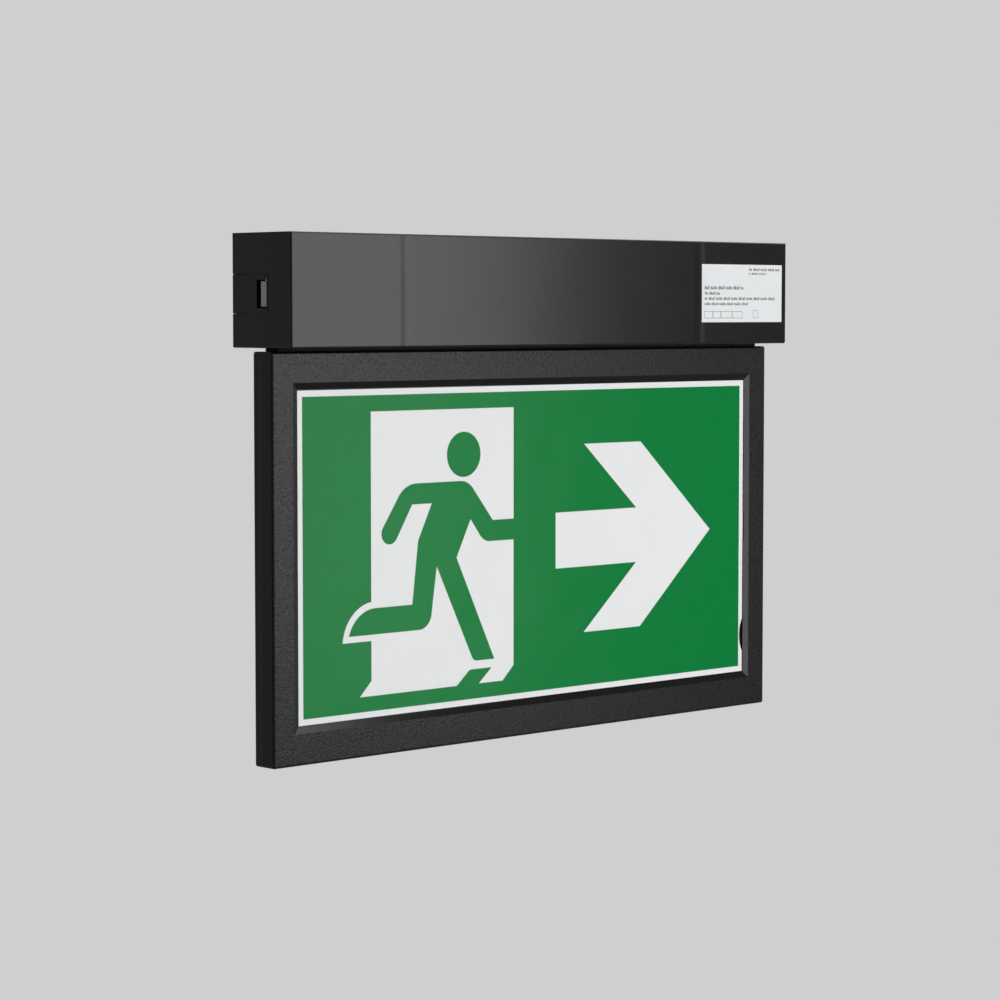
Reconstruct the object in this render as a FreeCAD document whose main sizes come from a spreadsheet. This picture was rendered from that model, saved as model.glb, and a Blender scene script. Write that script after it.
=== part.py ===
import FreeCAD, Part
import math
import os
import re

import Sketcher
from FreeCAD import Vector

# Emergency exit light: a slim housing that fixes to a ceiling or a wall, with an edge-lit
# sign hanging under it. Origin at the centre of the housing's top face, +X along the
# housing, -Y to the front, +Z up. Millimetres.

SIZES = (
    # housing
    ("HousingOverhang", 0.15, "housing, past each end of the sign"),
    ("HousingHeight", 53.0, "housing, along Z"),
    ("HousingDepth", 42.7, "housing, along Y"),
    ("CoverWall", 2.2, "wall of the lift-off cover"),
    ("CoverGap", 0.25, "play between cover and base"),
    ("CoverRadius", 0.9, "outer edges of the cover"),
    ("CoverLip", 12.0, "underside of the cover, from its front face"),
    ("CoverRibDepth", 5.0, "stiffening ribs behind the front wall"),
    ("CoverRibWidth", 1.6, "stiffening ribs behind the front wall"),
    ("LeftRibInset", 69.5, "left rib, from the left end"),
    ("RightRibInset", 67.2, "right rib, from the right end"),
    ("GuideTabWidth", 14.0, "tabs that guide the cover under the base's top"),
    ("GuideTabDepth", 6.0, "tabs that guide the cover under the base's top"),
    ("GuideTabInset", 59.0, "outer tabs, from the ends"),
    ("BaseWall", 2.4, "wall of the base"),
    ("TongueTop", 19.3, "end tongue, below the top face"),
    ("TongueHeight", 17.8, "end tongue"),
    ("TongueGap", 0.3, "play round the end tongue"),
    ("TongueLead", 1.0, "end tongue, in front of its window"),
    ("WindowDepth", 7.2, "window for the release catch, along Y"),
    ("WindowHeight", 13.0, "window for the release catch"),
    # release catches
    ("CatchDepth", 3.9, "catch button, along Y"),
    ("CatchHeight", 11.6, "catch button"),
    ("CatchOffset", 0.55, "catch button's centre, in front of the window's"),
    ("CatchRecess", 0.8, "catch button, below the end face"),
    ("CatchArm", 1.4, "spring arm of the catch"),
    ("CatchArmHeight", 7.0, "spring arm of the catch"),
    ("CatchArmGap", 1.25, "spring arm, from the end wall"),
    ("CatchReach", 14.6, "catch button to its root"),
    ("BeadRadius", 1.6, "rounded root of the catch"),
    ("BeadPlay", 0.2, "play round the rounded root"),
    ("SocketWall", 1.8, "wall round the rounded root"),
    # fixings and cable entry
    ("SlotRadius", 2.5, "fixing slots, half their width"),
    ("SlotLength", 12.0, "fixing slots, end to end"),
    ("CeilingSlotInset", 44.0, "ceiling slots, from the ends"),
    ("CeilingSlotLead", 12.5, "ceiling slots, in front of the middle"),
    ("WallSlotInset", 23.0, "wall slots, from the ends"),
    ("WallSlotDrop", 20.0, "wall slots, below the top face"),
    ("EntryGap", 16.0, "terminal block to the cable entry's axis"),
    ("EntrySetback", 9.6, "cable entry's axis, in front of the back wall"),
    ("EntryRadius", 7.5, "hole for the grommet"),
    ("EntryRebate", 1.2, "counterbore for the grommet's collar"),
    ("CableRadius", 4.5, "supply cable that the grommet and clamp take"),
    ("GrommetCollar", 1.6, "grommet, wider than its hole"),
    ("GrommetPlay", 0.1, "play of the grommet's collar"),
    ("ClampHeight", 7.0, "cable clamp, along Z"),
    ("ClampDrop", 18.0, "cable clamp's middle, below the top face"),
    ("ClampThick", 2.4, "cable clamp"),
    ("ClampPlay", 0.2, "cable clamp, over the cable"),
    ("ClampScrewPlace", 8.8, "clamp screws, from the cable's axis"),
    ("ClampBossRadius", 2.9, "posts under the cable clamp"),
    # gear
    ("BossHeight", 3.5, "board posts, from the back wall"),
    ("BossRadius", 2.6, "board posts"),
    ("PilotRadius", 1.05, "screw pilots in the posts"),
    ("BoardThick", 1.6, "circuit boards"),
    ("BoardDrop", 5.0, "boards' top edge, below the top face"),
    ("BoardGap", 3.6, "circuit boards, above the light rail"),
    ("BoardInset", 3.6, "board screws, from the board's edges"),
    ("DriverGap", 16.0, "cable entry's axis to the driver board"),
    ("DriverLength", 110.0, "driver board"),
    ("ModuleGap", 12.0, "driver board to the address board"),
    ("ModuleLength", 48.0, "address board"),
    ("ScrewRadius", 1.0, "small screws, shank"),
    ("ScrewHeadRadius", 1.9, "small screws, head"),
    ("ScrewHeadHeight", 1.3, "small screws, head"),
    ("ScrewPlay", 0.2, "play round the screws"),
    ("ScrewGrip", 3.0, "small screws, length in the plastic"),
    ("TransformerLength", 22.0, "transformer core, along X"),
    ("TransformerHeight", 18.0, "transformer core, along Z"),
    ("TransformerDepth", 14.0, "transformer core, along Y"),
    ("CapacitorRadius", 5.0, "electrolytic capacitors"),
    ("CapacitorLength", 15.0, "electrolytic capacitors"),
    ("ChokeRadius", 5.6, "ring core of the choke, middle"),
    ("ChokeWire", 2.3, "ring core of the choke, half its section"),
    ("ChokeGap", 2.0, "choke, above the connector"),
    ("FuseRadius", 2.6, "fuse"),
    ("FuseLength", 20.0, "fuse"),
    ("PlugLength", 10.0, "board connectors, along X"),
    ("PlugHeight", 6.0, "board connectors, along Z"),
    ("PlugDepth", 8.0, "board connectors, along Y"),
    ("DialBase", 10.0, "rotary switch, side of its square"),
    ("DialBaseDepth", 4.2, "rotary switch, from the board"),
    ("DialRadius", 3.6, "turning part of the rotary switch"),
    ("DialProud", 0.7, "turning part, above its square"),
    ("DialSink", 1.6, "turning part, sunk into its square"),
    ("DialPlay", 0.08, "play round the turning part"),
    ("DialSlot", 1.0, "screwdriver slot of the turning part"),
    ("DialPitch", 15.0, "rotary switches, apart"),
    ("PoleCount", 3, "terminal block, poles"),
    ("PoleWidth", 10.0, "terminal block, one pole"),
    ("TerminalInset", 35.0, "terminal block, from the left end"),
    ("TerminalDrop", 9.0, "terminal block, below the top face"),
    ("TerminalHeight", 22.0, "terminal block"),
    ("TerminalDepth", 16.0, "terminal block, from the back wall"),
    ("PoleGroove", 0.8, "grooves between the poles"),
    ("TerminalScrewRadius", 2.0, "terminal screws"),
    ("TerminalWireRadius", 2.1, "wire holes of the terminal block"),
    # light source
    ("RailInset", 23.0, "light rail, from the ends of the housing"),
    ("RailWidth", 12.0, "light rail, along Y"),
    ("RailHeight", 14.0, "light rail"),
    ("RailWall", 1.5, "light rail"),
    ("StripThick", 1.6, "lamp board under the rail's web"),
    ("StripPlay", 0.2, "lamp board, each side in the rail"),
    ("LampCount", 14, "lamps on the board"),
    ("LampLength", 3.5, "one lamp, along X"),
    ("LampWidth", 2.8, "one lamp, along Y"),
    ("LampHeight", 0.7, "one lamp"),
    ("LampAir", 0.6, "lamps to the light guide"),
    ("GuideAir", 0.2, "light guide to the diffusers"),
    ("GuideNeckInset", 1.5, "light guide's neck, inside the rail's ends"),
    # sign
    ("SignGap", 1.6, "housing to sign"),
    ("FrameDepth", 14.2, "sign frame, both halves"),
    ("FrameSide", 12.4, "face of the frame, left and right"),
    ("FrameTop", 14.5, "face of the frame, top"),
    ("FrameBottom", 14.9, "face of the frame, bottom"),
    ("FrameRadius", 1.2, "outer edges of the frame's faces"),
    ("FrameCorner", 1.0, "corners of the frame, seen from the front"),
    ("FrameSkin", 1.9, "walls of the hollow frame"),
    ("BevelWidth", 3.1, "bevel round the window, in the plane of the face"),
    ("BevelDepth", 1.4, "bevel round the window"),
    ("SeatDrop", 0.6, "film seat, below the bevel's inner edge"),
    ("SeatThick", 1.0, "film seat"),
    ("SeatWidth", 3.3, "film seat"),
    ("PaneRebate", 7.2, "pane rebate, outside the film seat's opening"),
    ("PanePlay", 0.3, "play round the panes"),
    ("DiffuserThick", 0.9, "diffuser"),
    ("SideCells", 5, "hollow cells in each side of the frame"),
    ("LowCells", 9, "hollow cells in the bottom of the frame"),
    ("CellBridge", 6.0, "bridges between the cells"),
    ("PegRadius", 1.3, "pegs that join the halves"),
    ("PegLength", 2.6, "pegs that join the halves"),
    ("PegPlay", 0.06, "play round the pegs"),
    ("HangerWidth", 10.0, "hanger, along X"),
    ("HangerThick", 1.5, "hanger"),
    ("HangerFoot", 9.0, "hanger's foot, along Y"),
    ("HangerInset", 14.0, "hangers, from the ends of the housing"),
    ("HangerDrop", 9.5, "hanger, into the frame"),
    ("HangerPad", 2.0, "pad under the hanger's foot"),
    ("HangerPlay", 0.3, "play round the hanger"),
    # legend
    ("FilmPlay", 0.45, "film, inside its seat"),
    ("FilmThick", 0.5, "legend film"),
    ("LegendLength", 300.0, "green field, twice as long as it is high"),
    ("LegendBorder", 2.9, "white border round the green field"),
    ("InkThick", 0.12, "printed layer"),
    ("NotchDepth", 2.2, "thumb notch of the film"),
    ("NotchChord", 17.7, "thumb notch of the film"),
    ("NotchRise", 19.6, "thumb notch, above the film's lower edge"),
    ("EarLength", 13.2, "ear of the film, along Z"),
    ("EarReach", 2.1, "ear of the film, past its edge"),
    # label
    ("LabelLength", 62.0, "rating label"),
    ("LabelHeight", 30.0, "rating label"),
    ("LabelThick", 0.12, "rating label"),
    ("LabelInset", 3.7, "rating label, from the right end"),
    ("LabelDrop", 11.7, "rating label, below the top face"),
    ("Overcut", 1.0, "how far a cut runs past the face that it opens"),
)

# sizes that follow from the ones above, the sign from its legend outwards
DERIVED = (
    ("LegendHeight", "LegendLength / 2", "green field"),
    ("FilmLength", "LegendLength + 2 * LegendBorder", "legend film"),
    ("FilmHeight", "LegendHeight + 2 * LegendBorder", "legend film"),
    ("WindowLength", "FilmLength + 2 * (FilmPlay + BevelWidth)", "window in the face of the frame"),
    ("WindowHigh", "FilmHeight + 2 * (FilmPlay + BevelWidth)", "window in the face of the frame"),
    ("FrameLength", "WindowLength + 2 * FrameSide", "sign frame, along X"),
    ("FrameHeight", "WindowHigh + FrameTop + FrameBottom", "sign frame, along Z"),
    ("SeatLevel", "FrameDepth / 2 - BevelDepth - SeatDrop", "film seat, from the frame's middle"),
    ("GuideThick", "2 * (SeatLevel - SeatThick - DiffuserThick - GuideAir)", "light guide"),
    ("HousingLength", "FrameLength + 2 * HousingOverhang", "housing, along X"),
    ("RailLength", "HousingLength - 2 * RailInset", "light rail"),
    ("RailTop", "BaseWall + RailHeight - HousingHeight", "light rail's top, from the top face"),
    ("BoardHeight", "-RailTop - BoardDrop - BoardGap", "circuit boards"),
    ("HangerPlace", "HousingLength / 2 - HangerInset", "hangers, from the middle"),
    ("GuideTabPlace", "HousingLength / 2 - GuideTabInset", "outer tabs, from the middle"),
    ("TerminalLeft", "TerminalInset - HousingLength / 2", "terminal block's left side"),
    ("EntryPlace", "TerminalLeft + PoleCount * PoleWidth + EntryGap", "cable entry, along X"),
    ("DriverPlace", "EntryPlace + DriverGap + DriverLength / 2", "driver board's middle"),
    ("DriverRight", "DriverPlace + DriverLength / 2", "driver board's right edge"),
    ("ModulePlace", "DriverRight + ModuleGap + ModuleLength / 2", "address board's middle"),
)


doc = FreeCAD.newDocument("exit_light")
sheet = doc.addObject("Spreadsheet::Sheet", "sizes")
formulas = [(alias, f"={formula}", note) for alias, formula, note in DERIVED]
for row, (alias, size, note) in enumerate([*SIZES, *formulas], start=1):
    sheet.set(f"A{row}", alias)
    sheet.set(f"B{row}", str(size))
    sheet.set(f"C{row}", note)
    sheet.setAlias(f"B{row}", alias)
doc.recompute()


# ---------------------------------------------------------------- expressions

def bound(text):
    """The expression with every size read from the sheet."""
    return re.sub(r"\b([A-Z]\w+)", r"sizes.\1", text)


def value(text):
    return float(sheet.evalExpression(bound(text)))


def both(side, near, far):
    """A stretch from near to far on the positive side, or its mirror image."""
    if side > 0:
        return f"({near})", f"({far})"
    return f"-({far})", f"-({near})"


END = "HousingLength / 2"
BACK = "HousingDepth / 2"
FRONT = "-HousingDepth / 2"
BOTTOM = "-HousingHeight"
BASE_END = "(HousingLength / 2 - CoverWall - CoverGap)"
BASE_FRONT = "(CoverWall + CoverGap - HousingDepth / 2)"
INNER_END = "(HousingLength / 2 - CoverWall - CoverGap - BaseWall)"
INNER_BACK = "(HousingDepth / 2 - BaseWall)"
FLOOR = "(BaseWall - HousingHeight)"
LIP_BACK = "(CoverLip - HousingDepth / 2)"
TRAY_FRONT = "(CoverLip + CoverGap - HousingDepth / 2)"
TONGUE_FRONT = "(-WindowDepth / 2 - TongueLead)"
TONGUE_LOW = "(-TongueTop - TongueHeight)"
WINDOW_MIDDLE = "(-TongueTop - TongueHeight / 2)"

BOARD_BACK = "(HousingDepth / 2 - BaseWall - BossHeight)"
BOARD_FRONT = "(HousingDepth / 2 - BaseWall - BossHeight - BoardThick)"
BOARD_LOW = "(-BoardDrop - BoardHeight)"
ENTRY_Y = "(HousingDepth / 2 - BaseWall - EntrySetback)"

STRIP_TOP = "(RailTop - RailWall)"
LAMP_TOP = "(RailTop - RailWall - StripThick)"
GUIDE_TOP = "(RailTop - RailWall - StripThick - LampHeight - LampAir)"

FRAME_TOP = "(-HousingHeight - SignGap)"
FRAME_LOW = "(-HousingHeight - SignGap - FrameHeight)"
SIGN_MIDDLE = "(-HousingHeight - SignGap - FrameTop - WindowHigh / 2)"
SEAT_UNDER = "(SeatLevel - SeatThick)"


def window(grow):
    """Left, right, low and high of the sign's window, grown outwards by an expression."""
    return (
        f"-WindowLength / 2 - ({grow})",
        f"WindowLength / 2 + ({grow})",
        f"{SIGN_MIDDLE} - WindowHigh / 2 - ({grow})",
        f"{SIGN_MIDDLE} + WindowHigh / 2 + ({grow})",
    )


# ---------------------------------------------------------------- sketches

def polygon(sketch, points):
    """A closed outline whose corners are bound to expressions."""
    first = sketch.GeometryCount
    spots = [Vector(value(x), value(y), 0) for x, y in points]
    count = len(spots)
    for i, spot in enumerate(spots):
        sketch.addGeometry(Part.LineSegment(spot, spots[(i + 1) % count]), False)
    for i in range(count):
        after = first + (i + 1) % count
        sketch.addConstraint(Sketcher.Constraint("Coincident", first + i, 2, after, 1))
    for i, (x, y) in enumerate(points):
        place(sketch, first + i, 1, x, y)


def place(sketch, geometry, point, x, y):
    for kind, text in (("DistanceX", x), ("DistanceY", y)):
        rule = Sketcher.Constraint(kind, -1, 1, geometry, point, value(text))
        number = sketch.addConstraint(rule)
        sketch.setExpression(f"Constraints[{number}]", bound(text))


def rectangle(sketch, left, right, low, high):
    polygon(sketch, ((left, low), (right, low), (right, high), (left, high)))


def circle(sketch, x, y, radius):
    middle = Vector(value(x), value(y), 0)
    number = sketch.addGeometry(Part.Circle(middle, Vector(0, 0, 1), value(radius)), False)
    place(sketch, number, 3, x, y)
    rule = sketch.addConstraint(Sketcher.Constraint("Radius", number, value(radius)))
    sketch.setExpression(f"Constraints[{rule}]", bound(radius))


def slot(sketch, x, y, length, radius):
    """A slot along the sketch's first axis, with its ends as arcs."""
    reach = f"(({length}) / 2 - ({radius}))"
    size = value(radius)
    ends = []
    for sign in (1, -1):
        ring = Part.Circle(Vector(value(f"{x} + {sign} * {reach}"), value(y), 0), Vector(0, 0, 1), size)
        start = -sign * math.pi / 2
        ends.append(sketch.addGeometry(Part.ArcOfCircle(ring, start, start + math.pi), False))
    right, left = ends
    high = Vector(0, size, 0)
    middles = [Vector(value(f"{x} + {sign} * {reach}"), value(y), 0) for sign in (1, -1)]
    top = sketch.addGeometry(Part.LineSegment(middles[0] + high, middles[1] + high), False)
    low = sketch.addGeometry(Part.LineSegment(middles[1] - high, middles[0] - high), False)
    for first, second in ((right, top), (top, left), (left, low), (low, right)):
        sketch.addConstraint(Sketcher.Constraint("Tangent", first, 2, second, 1))
    sketch.addConstraint(Sketcher.Constraint("Equal", right, left))
    place(sketch, right, 3, f"{x} + {reach}", y)
    place(sketch, left, 3, f"{x} - {reach}", y)
    rule = sketch.addConstraint(Sketcher.Constraint("Radius", right, size))
    sketch.setExpression(f"Constraints[{rule}]", bound(radius))


# ---------------------------------------------------------------- bodies

PLANES = {"X": "YZ_Plane", "Y": "XZ_Plane", "Z": "XY_Plane"}


def body(label):
    piece = doc.addObject("PartDesign::Body", label)
    piece.Label = label
    return piece


def sketch_at(piece, axis, level):
    """A sketch square to an axis at a level; square to Y it looks along +Y."""
    sketch = piece.newObject("Sketcher::SketchObject", f"{piece.Name}_sketch")
    plane = next(f for f in piece.Origin.OriginFeatures if f.Role == PLANES[axis])
    sketch.AttachmentSupport = (plane, [""])
    sketch.MapMode = "FlatFace"
    sign = "-" if axis == "Y" else ""
    sketch.setExpression("AttachmentOffset.Base.z", bound(f"{sign}({level})"))
    return sketch


def extrude(kind, piece, axis, low, high, drawings):
    """Adds or cuts what the drawings enclose, from low to high along the axis."""
    starts_low = (kind == "Pad") != (axis == "Y")
    sketch = sketch_at(piece, axis, low if starts_low else high)
    for draw, *sizes in drawings:
        draw(sketch, *sizes)
    feature = piece.newObject(f"PartDesign::{kind}", f"{piece.Name}_{kind}")
    feature.Profile = sketch
    feature.setExpression("Length", bound(f"({high}) - ({low})"))
    doc.recompute()
    return feature


def pad(piece, axis, low, high, *drawings):
    return extrude("Pad", piece, axis, low, high, drawings)


def pocket(piece, axis, low, high, *drawings):
    before = piece.Shape.Volume
    feature = extrude("Pocket", piece, axis, low, high, drawings)
    if piece.Shape.Volume > before - 0.01:
        raise RuntimeError(f"{feature.Name} cuts nothing")
    return feature


def revolve(piece, axis, level, across, upright, corners):
    """Turns corners, given as (radius, height), round the sketch's upright line at (across, upright)."""
    sketch = sketch_at(piece, axis, level)
    points = [(f"{across} + ({r})", f"{upright} + ({z})") for r, z in corners]
    polygon(sketch, points)
    spindle = Part.LineSegment(
        Vector(value(across), value(upright), 0), Vector(value(across), value(upright) + 1, 0)
    )
    number = sketch.addGeometry(spindle, True)
    place(sketch, number, 1, across, upright)
    place(sketch, number, 2, across, f"{upright} + 1")
    feature = piece.newObject("PartDesign::Revolution", f"{piece.Name}_turned")
    feature.Profile = sketch
    feature.ReferenceAxis = (sketch, ["Axis0"])
    feature.Angle = 360
    doc.recompute()
    return feature


def repeat(piece, feature, axis, pitch, count):
    """Repeats a feature along an axis and makes the pattern the tip."""
    pattern = piece.newObject("PartDesign::LinearPattern", f"{feature.Name}_row")
    pattern.Originals = [feature]
    line = next(f for f in piece.Origin.OriginFeatures if f.Role == f"{axis}_Axis")
    pattern.Direction = (line, [""])
    pattern.setExpression("Length", bound(f"({pitch}) * ({count} - 1)"))
    pattern.setExpression("Occurrences", bound(count))
    piece.Tip = pattern
    doc.recompute()
    return pattern


def edges(piece, chosen):
    """Names of the edges whose ends and middle all pass a test."""
    names = []
    for number, edge in enumerate(piece.Shape.Edges, start=1):
        middle = edge.valueAt((edge.FirstParameter + edge.LastParameter) / 2)
        spots = [vertex.Point for vertex in edge.Vertexes] + [middle]
        if all(chosen(spot) for spot in spots):
            names.append(f"Edge{number}")
    if not names:
        raise RuntimeError(f"no such edges on {piece.Label}")
    return names


def dress(kind, piece, size, chosen):
    feature = piece.newObject(f"PartDesign::{kind}", f"{piece.Name}_{kind}")
    feature.Base = (piece.Tip if piece.Tip != feature else piece.Group[-2], edges(piece, chosen))
    feature.setExpression("Radius" if kind == "Fillet" else "Size", bound(size))
    doc.recompute()
    return feature


def shaped(label, shape):
    """A piece whose form only Part's own functions give."""
    piece = doc.addObject("Part::Feature", label)
    piece.Label = label
    piece.Shape = shape
    return piece


def group(label, shape, spots):
    """Like pieces, each a solid of its own."""
    copies = []
    for spot in spots:
        copy = shape.copy()
        copy.translate(Vector(*[value(text) for text in spot]))
        copies.append(copy)
    return shaped(label, Part.makeCompound(copies))


def at(level, reach=0.05):
    """A test that a number is at a level."""
    return lambda number: abs(number - level) < reach


# ---------------------------------------------------------------- housing

SIDES = (("left", -1), ("right", 1))


def driver_corners():
    return board_corners("DriverPlace", "DriverLength")


def module_corners():
    return board_corners("ModulePlace", "ModuleLength")


def board_corners(middle, length):
    return [
        (f"{middle} + {side} * ({length} / 2 - BoardInset)", f"{level}")
        for side in (-1, 1)
        for level in ("(-BoardDrop - BoardInset)", "(-BoardDrop - BoardHeight + BoardInset)")
    ]


CLAMP_SPOTS = [(f"EntryPlace + {side} * ClampScrewPlace", "-ClampDrop") for side in (-1, 1)]
HANGER_SCREW_Y = "(HangerThick / 2 + HangerFoot / 2)"


def socket_block(base, side):
    """The block that holds the rounded root of a catch, open to the front."""
    root_x = f"({INNER_END} - CatchArmGap - CatchArm / 2)"
    root_y = "(CatchReach - CatchOffset)"
    wall = "(BeadRadius + BeadPlay + SocketWall)"
    low = f"{WINDOW_MIDDLE} - CatchArmHeight / 2 - BeadPlay"
    high = f"{WINDOW_MIDDLE} + CatchArmHeight / 2 + BeadPlay"
    near, far = both(side, f"{root_x} - {wall}", f"{INNER_END} + BaseWall / 2")
    pad(base, "Z", low, high, (rectangle, near, far, f"{root_y} - {wall}", f"{BACK} - BaseWall / 2"))
    hollow = (circle, f"{side} * {root_x}", root_y, "BeadRadius + BeadPlay")
    pocket(base, "Z", f"{low} - Overcut", high, hollow)
    mouth = (
        (f"{side} * {root_x} - BeadRadius * 0.75", root_y),
        (f"{side} * {root_x} + BeadRadius * 0.75", root_y),
        (f"{side} * {root_x} + BeadRadius * 1.2", f"{root_y} - {wall} - Overcut"),
        (f"{side} * {root_x} - BeadRadius * 1.2", f"{root_y} - {wall} - Overcut"),
    )
    pocket(base, "Z", low, high, (polygon, mouth))


def make_base():
    """The tray that is fixed to the building and carries the gear and the sign."""
    base = body("housing_base")
    pad(base, "Z", BOTTOM, "0", (rectangle, f"-{BASE_END}", BASE_END, BASE_FRONT, BACK))
    inside = (rectangle, f"-{INNER_END}", INNER_END, FLOOR, "-BaseWall")
    pocket(base, "Y", f"{BASE_FRONT} - Overcut", INNER_BACK, inside)
    front = (rectangle, f"-{BASE_END} - Overcut", f"{BASE_END} + Overcut", f"{BOTTOM} - Overcut", "-BaseWall")
    pocket(base, "Y", f"{BASE_FRONT} - Overcut", TRAY_FRONT, front)
    for name, side in SIDES:
        near, far = both(side, f"{BASE_END} - BaseWall / 2", END)
        pad(base, "X", near, far, (rectangle, TONGUE_FRONT, BACK, TONGUE_LOW, "-TongueTop"))
        near, far = both(side, f"{INNER_END} - Overcut", f"{END} + Overcut")
        opening = (
            rectangle, "-WindowDepth / 2", "WindowDepth / 2",
            f"{WINDOW_MIDDLE} - WindowHeight / 2", f"{WINDOW_MIDDLE} + WindowHeight / 2",
        )
        pocket(base, "X", near, far, opening)
    # light guide and hangers pass through the floor
    neck = "(RailLength / 2 - GuideNeckInset + HangerPlay)"
    half = "(GuideThick / 2 + HangerPlay)"
    pocket(base, "Z", f"{BOTTOM} - Overcut", f"{FLOOR} + Overcut",
           (rectangle, f"-{neck}", neck, f"-{half}", half))
    for name, side in SIDES:
        middle = f"{side} * HangerPlace"
        wide = "(HangerWidth / 2 + HangerPlay)"
        deep = "(HangerThick / 2 + HangerPlay)"
        foot = "HangerThick / 2 + HangerFoot"
        pad(base, "Z", f"{FLOOR} - BaseWall / 2", f"{FLOOR} + HangerPad",
            (rectangle, f"{middle} - {wide}", f"{middle} + {wide}", "-HangerThick - HangerPlay", foot))
        pocket(base, "Z", f"{BOTTOM} - Overcut", f"{FLOOR} + HangerPad + Overcut",
               (rectangle, f"{middle} - {wide}", f"{middle} + {wide}", f"-{deep}", deep))
        pocket(base, "Z", f"{FLOOR} + HangerPad - ScrewGrip - ScrewPlay", f"{FLOOR} + HangerPad + Overcut",
               (circle, middle, HANGER_SCREW_Y, "PilotRadius"))
    # fixing slots and cable entry
    for side in (-1, 1):
        pocket(base, "Z", "-BaseWall - Overcut", "Overcut",
               (slot, f"{side} * ({END} - CeilingSlotInset)", "-CeilingSlotLead", "SlotLength", "SlotRadius"))
        pocket(base, "Y", f"{INNER_BACK} - Overcut", f"{BACK} + Overcut",
               (slot, f"{side} * ({END} - WallSlotInset)", "-WallSlotDrop", "SlotLength", "SlotRadius"))
    pocket(base, "Z", "-BaseWall - Overcut", "Overcut", (circle, "EntryPlace", ENTRY_Y, "EntryRadius"))
    pocket(base, "Z", "-EntryRebate", "Overcut",
           (circle, "EntryPlace", ENTRY_Y, "EntryRadius + GrommetCollar"))
    # posts with their pilots
    posts = driver_corners() + module_corners()
    rounds = [(circle, x, z, "BossRadius") for x, z in posts]
    pad(base, "Y", BOARD_BACK, f"{INNER_BACK} + BaseWall / 2", *rounds)
    pilots = [(circle, x, z, "PilotRadius") for x, z in posts]
    pocket(base, "Y", f"{BOARD_BACK} - Overcut", f"{BOARD_BACK} + ScrewGrip", *pilots)
    rounds = [(circle, x, z, "ClampBossRadius") for x, z in CLAMP_SPOTS]
    pad(base, "Y", f"{ENTRY_Y}", f"{INNER_BACK} + BaseWall / 2", *rounds)
    pilots = [(circle, x, z, "PilotRadius") for x, z in CLAMP_SPOTS]
    pocket(base, "Y", f"{ENTRY_Y} - Overcut", f"{ENTRY_Y} + ScrewGrip + Overcut", *pilots)
    # saddle under the cable
    pad(base, "Y", f"{ENTRY_Y} + CableRadius", f"{INNER_BACK} + BaseWall / 2",
        (rectangle, "EntryPlace - CableRadius", "EntryPlace + CableRadius",
         "-ClampDrop - ClampHeight / 2", "-ClampDrop + ClampHeight / 2"))
    for name, side in SIDES:
        socket_block(base, side)
    return base


def make_cover():
    """The lift-off front of the housing, with its two ends and a lip underneath."""
    cover = body("housing_cover")
    pad(cover, "Z", BOTTOM, "0", (rectangle, f"-{END}", END, FRONT, BACK))
    inside = (rectangle, f"CoverWall - {END}", f"{END} - CoverWall",
              f"CoverWall + {FRONT}", f"{BACK} + Overcut")
    pocket(cover, "Z", f"{BOTTOM} + CoverWall", "Overcut", inside)
    behind = (rectangle, f"CoverWall - {END}", f"{END} - CoverWall", LIP_BACK, f"{BACK} + Overcut")
    pocket(cover, "Z", f"{BOTTOM} - Overcut", f"{BOTTOM} + CoverWall", behind)
    for name, side in SIDES:
        near, far = both(side, f"{END} - CoverWall - Overcut", f"{END} + Overcut")
        notch = (rectangle, f"{TONGUE_FRONT} - TongueGap", f"{BACK} + Overcut",
                 f"{TONGUE_LOW} - TongueGap", "TongueGap - TongueTop")
        pocket(cover, "X", near, far, notch)
    wall = f"CoverWall + {FRONT}"
    for middle in (f"LeftRibInset - {END}", f"{END} - RightRibInset"):
        pad(cover, "Z", f"{BOTTOM} + CoverWall / 2", "-BaseWall - CoverGap",
            (rectangle, f"{middle} - CoverRibWidth / 2", f"{middle} + CoverRibWidth / 2",
             f"{wall} - CoverWall / 2", f"{wall} + CoverRibDepth"))
    for place_x in ("-GuideTabPlace", "0", "GuideTabPlace"):
        pad(cover, "Z", "-BaseWall - CoverGap - CoverWall", "-BaseWall - CoverGap",
            (rectangle, f"{place_x} - GuideTabWidth / 2", f"{place_x} + GuideTabWidth / 2",
             f"{wall} - CoverWall / 2", f"{wall} + GuideTabDepth"))
    front, end, bottom = value(FRONT), value(END), value(BOTTOM)
    on_front, on_end = at(front), at(end)
    low = at(bottom)
    dress("Fillet", cover, "CoverRadius", lambda p: (
        on_front(p.y) and (on_end(abs(p.x)) or low(p.z) or abs(p.z) < 0.05)
        or on_end(abs(p.x)) and low(p.z)
    ))
    return cover


def make_catch(name, side):
    """A release catch: a button on a springy arm with a rounded root."""
    catch = body(f"release_catch_{name}")
    root_x = f"({INNER_END} - CatchArmGap - CatchArm / 2)"
    root_y = "(CatchReach - CatchOffset)"
    low = f"{WINDOW_MIDDLE} - CatchHeight / 2"
    high = f"{WINDOW_MIDDLE} + CatchHeight / 2"
    arm_low = f"{WINDOW_MIDDLE} - CatchArmHeight / 2"
    arm_high = f"{WINDOW_MIDDLE} + CatchArmHeight / 2"
    near, far = both(side, f"{root_x} - CatchArm / 2", f"{END} - CatchRecess")
    pad(catch, "Z", low, high,
        (rectangle, near, far, "-CatchOffset - CatchDepth / 2", "CatchDepth / 2 - CatchOffset"))
    near, far = both(side, f"{root_x} - CatchArm / 2", f"{root_x} + CatchArm / 2")
    pad(catch, "Z", arm_low, arm_high, (rectangle, near, far, "-CatchOffset", root_y))
    pad(catch, "Z", arm_low, arm_high, (circle, f"{side} * {root_x}", root_y, "BeadRadius"))
    return catch


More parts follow.
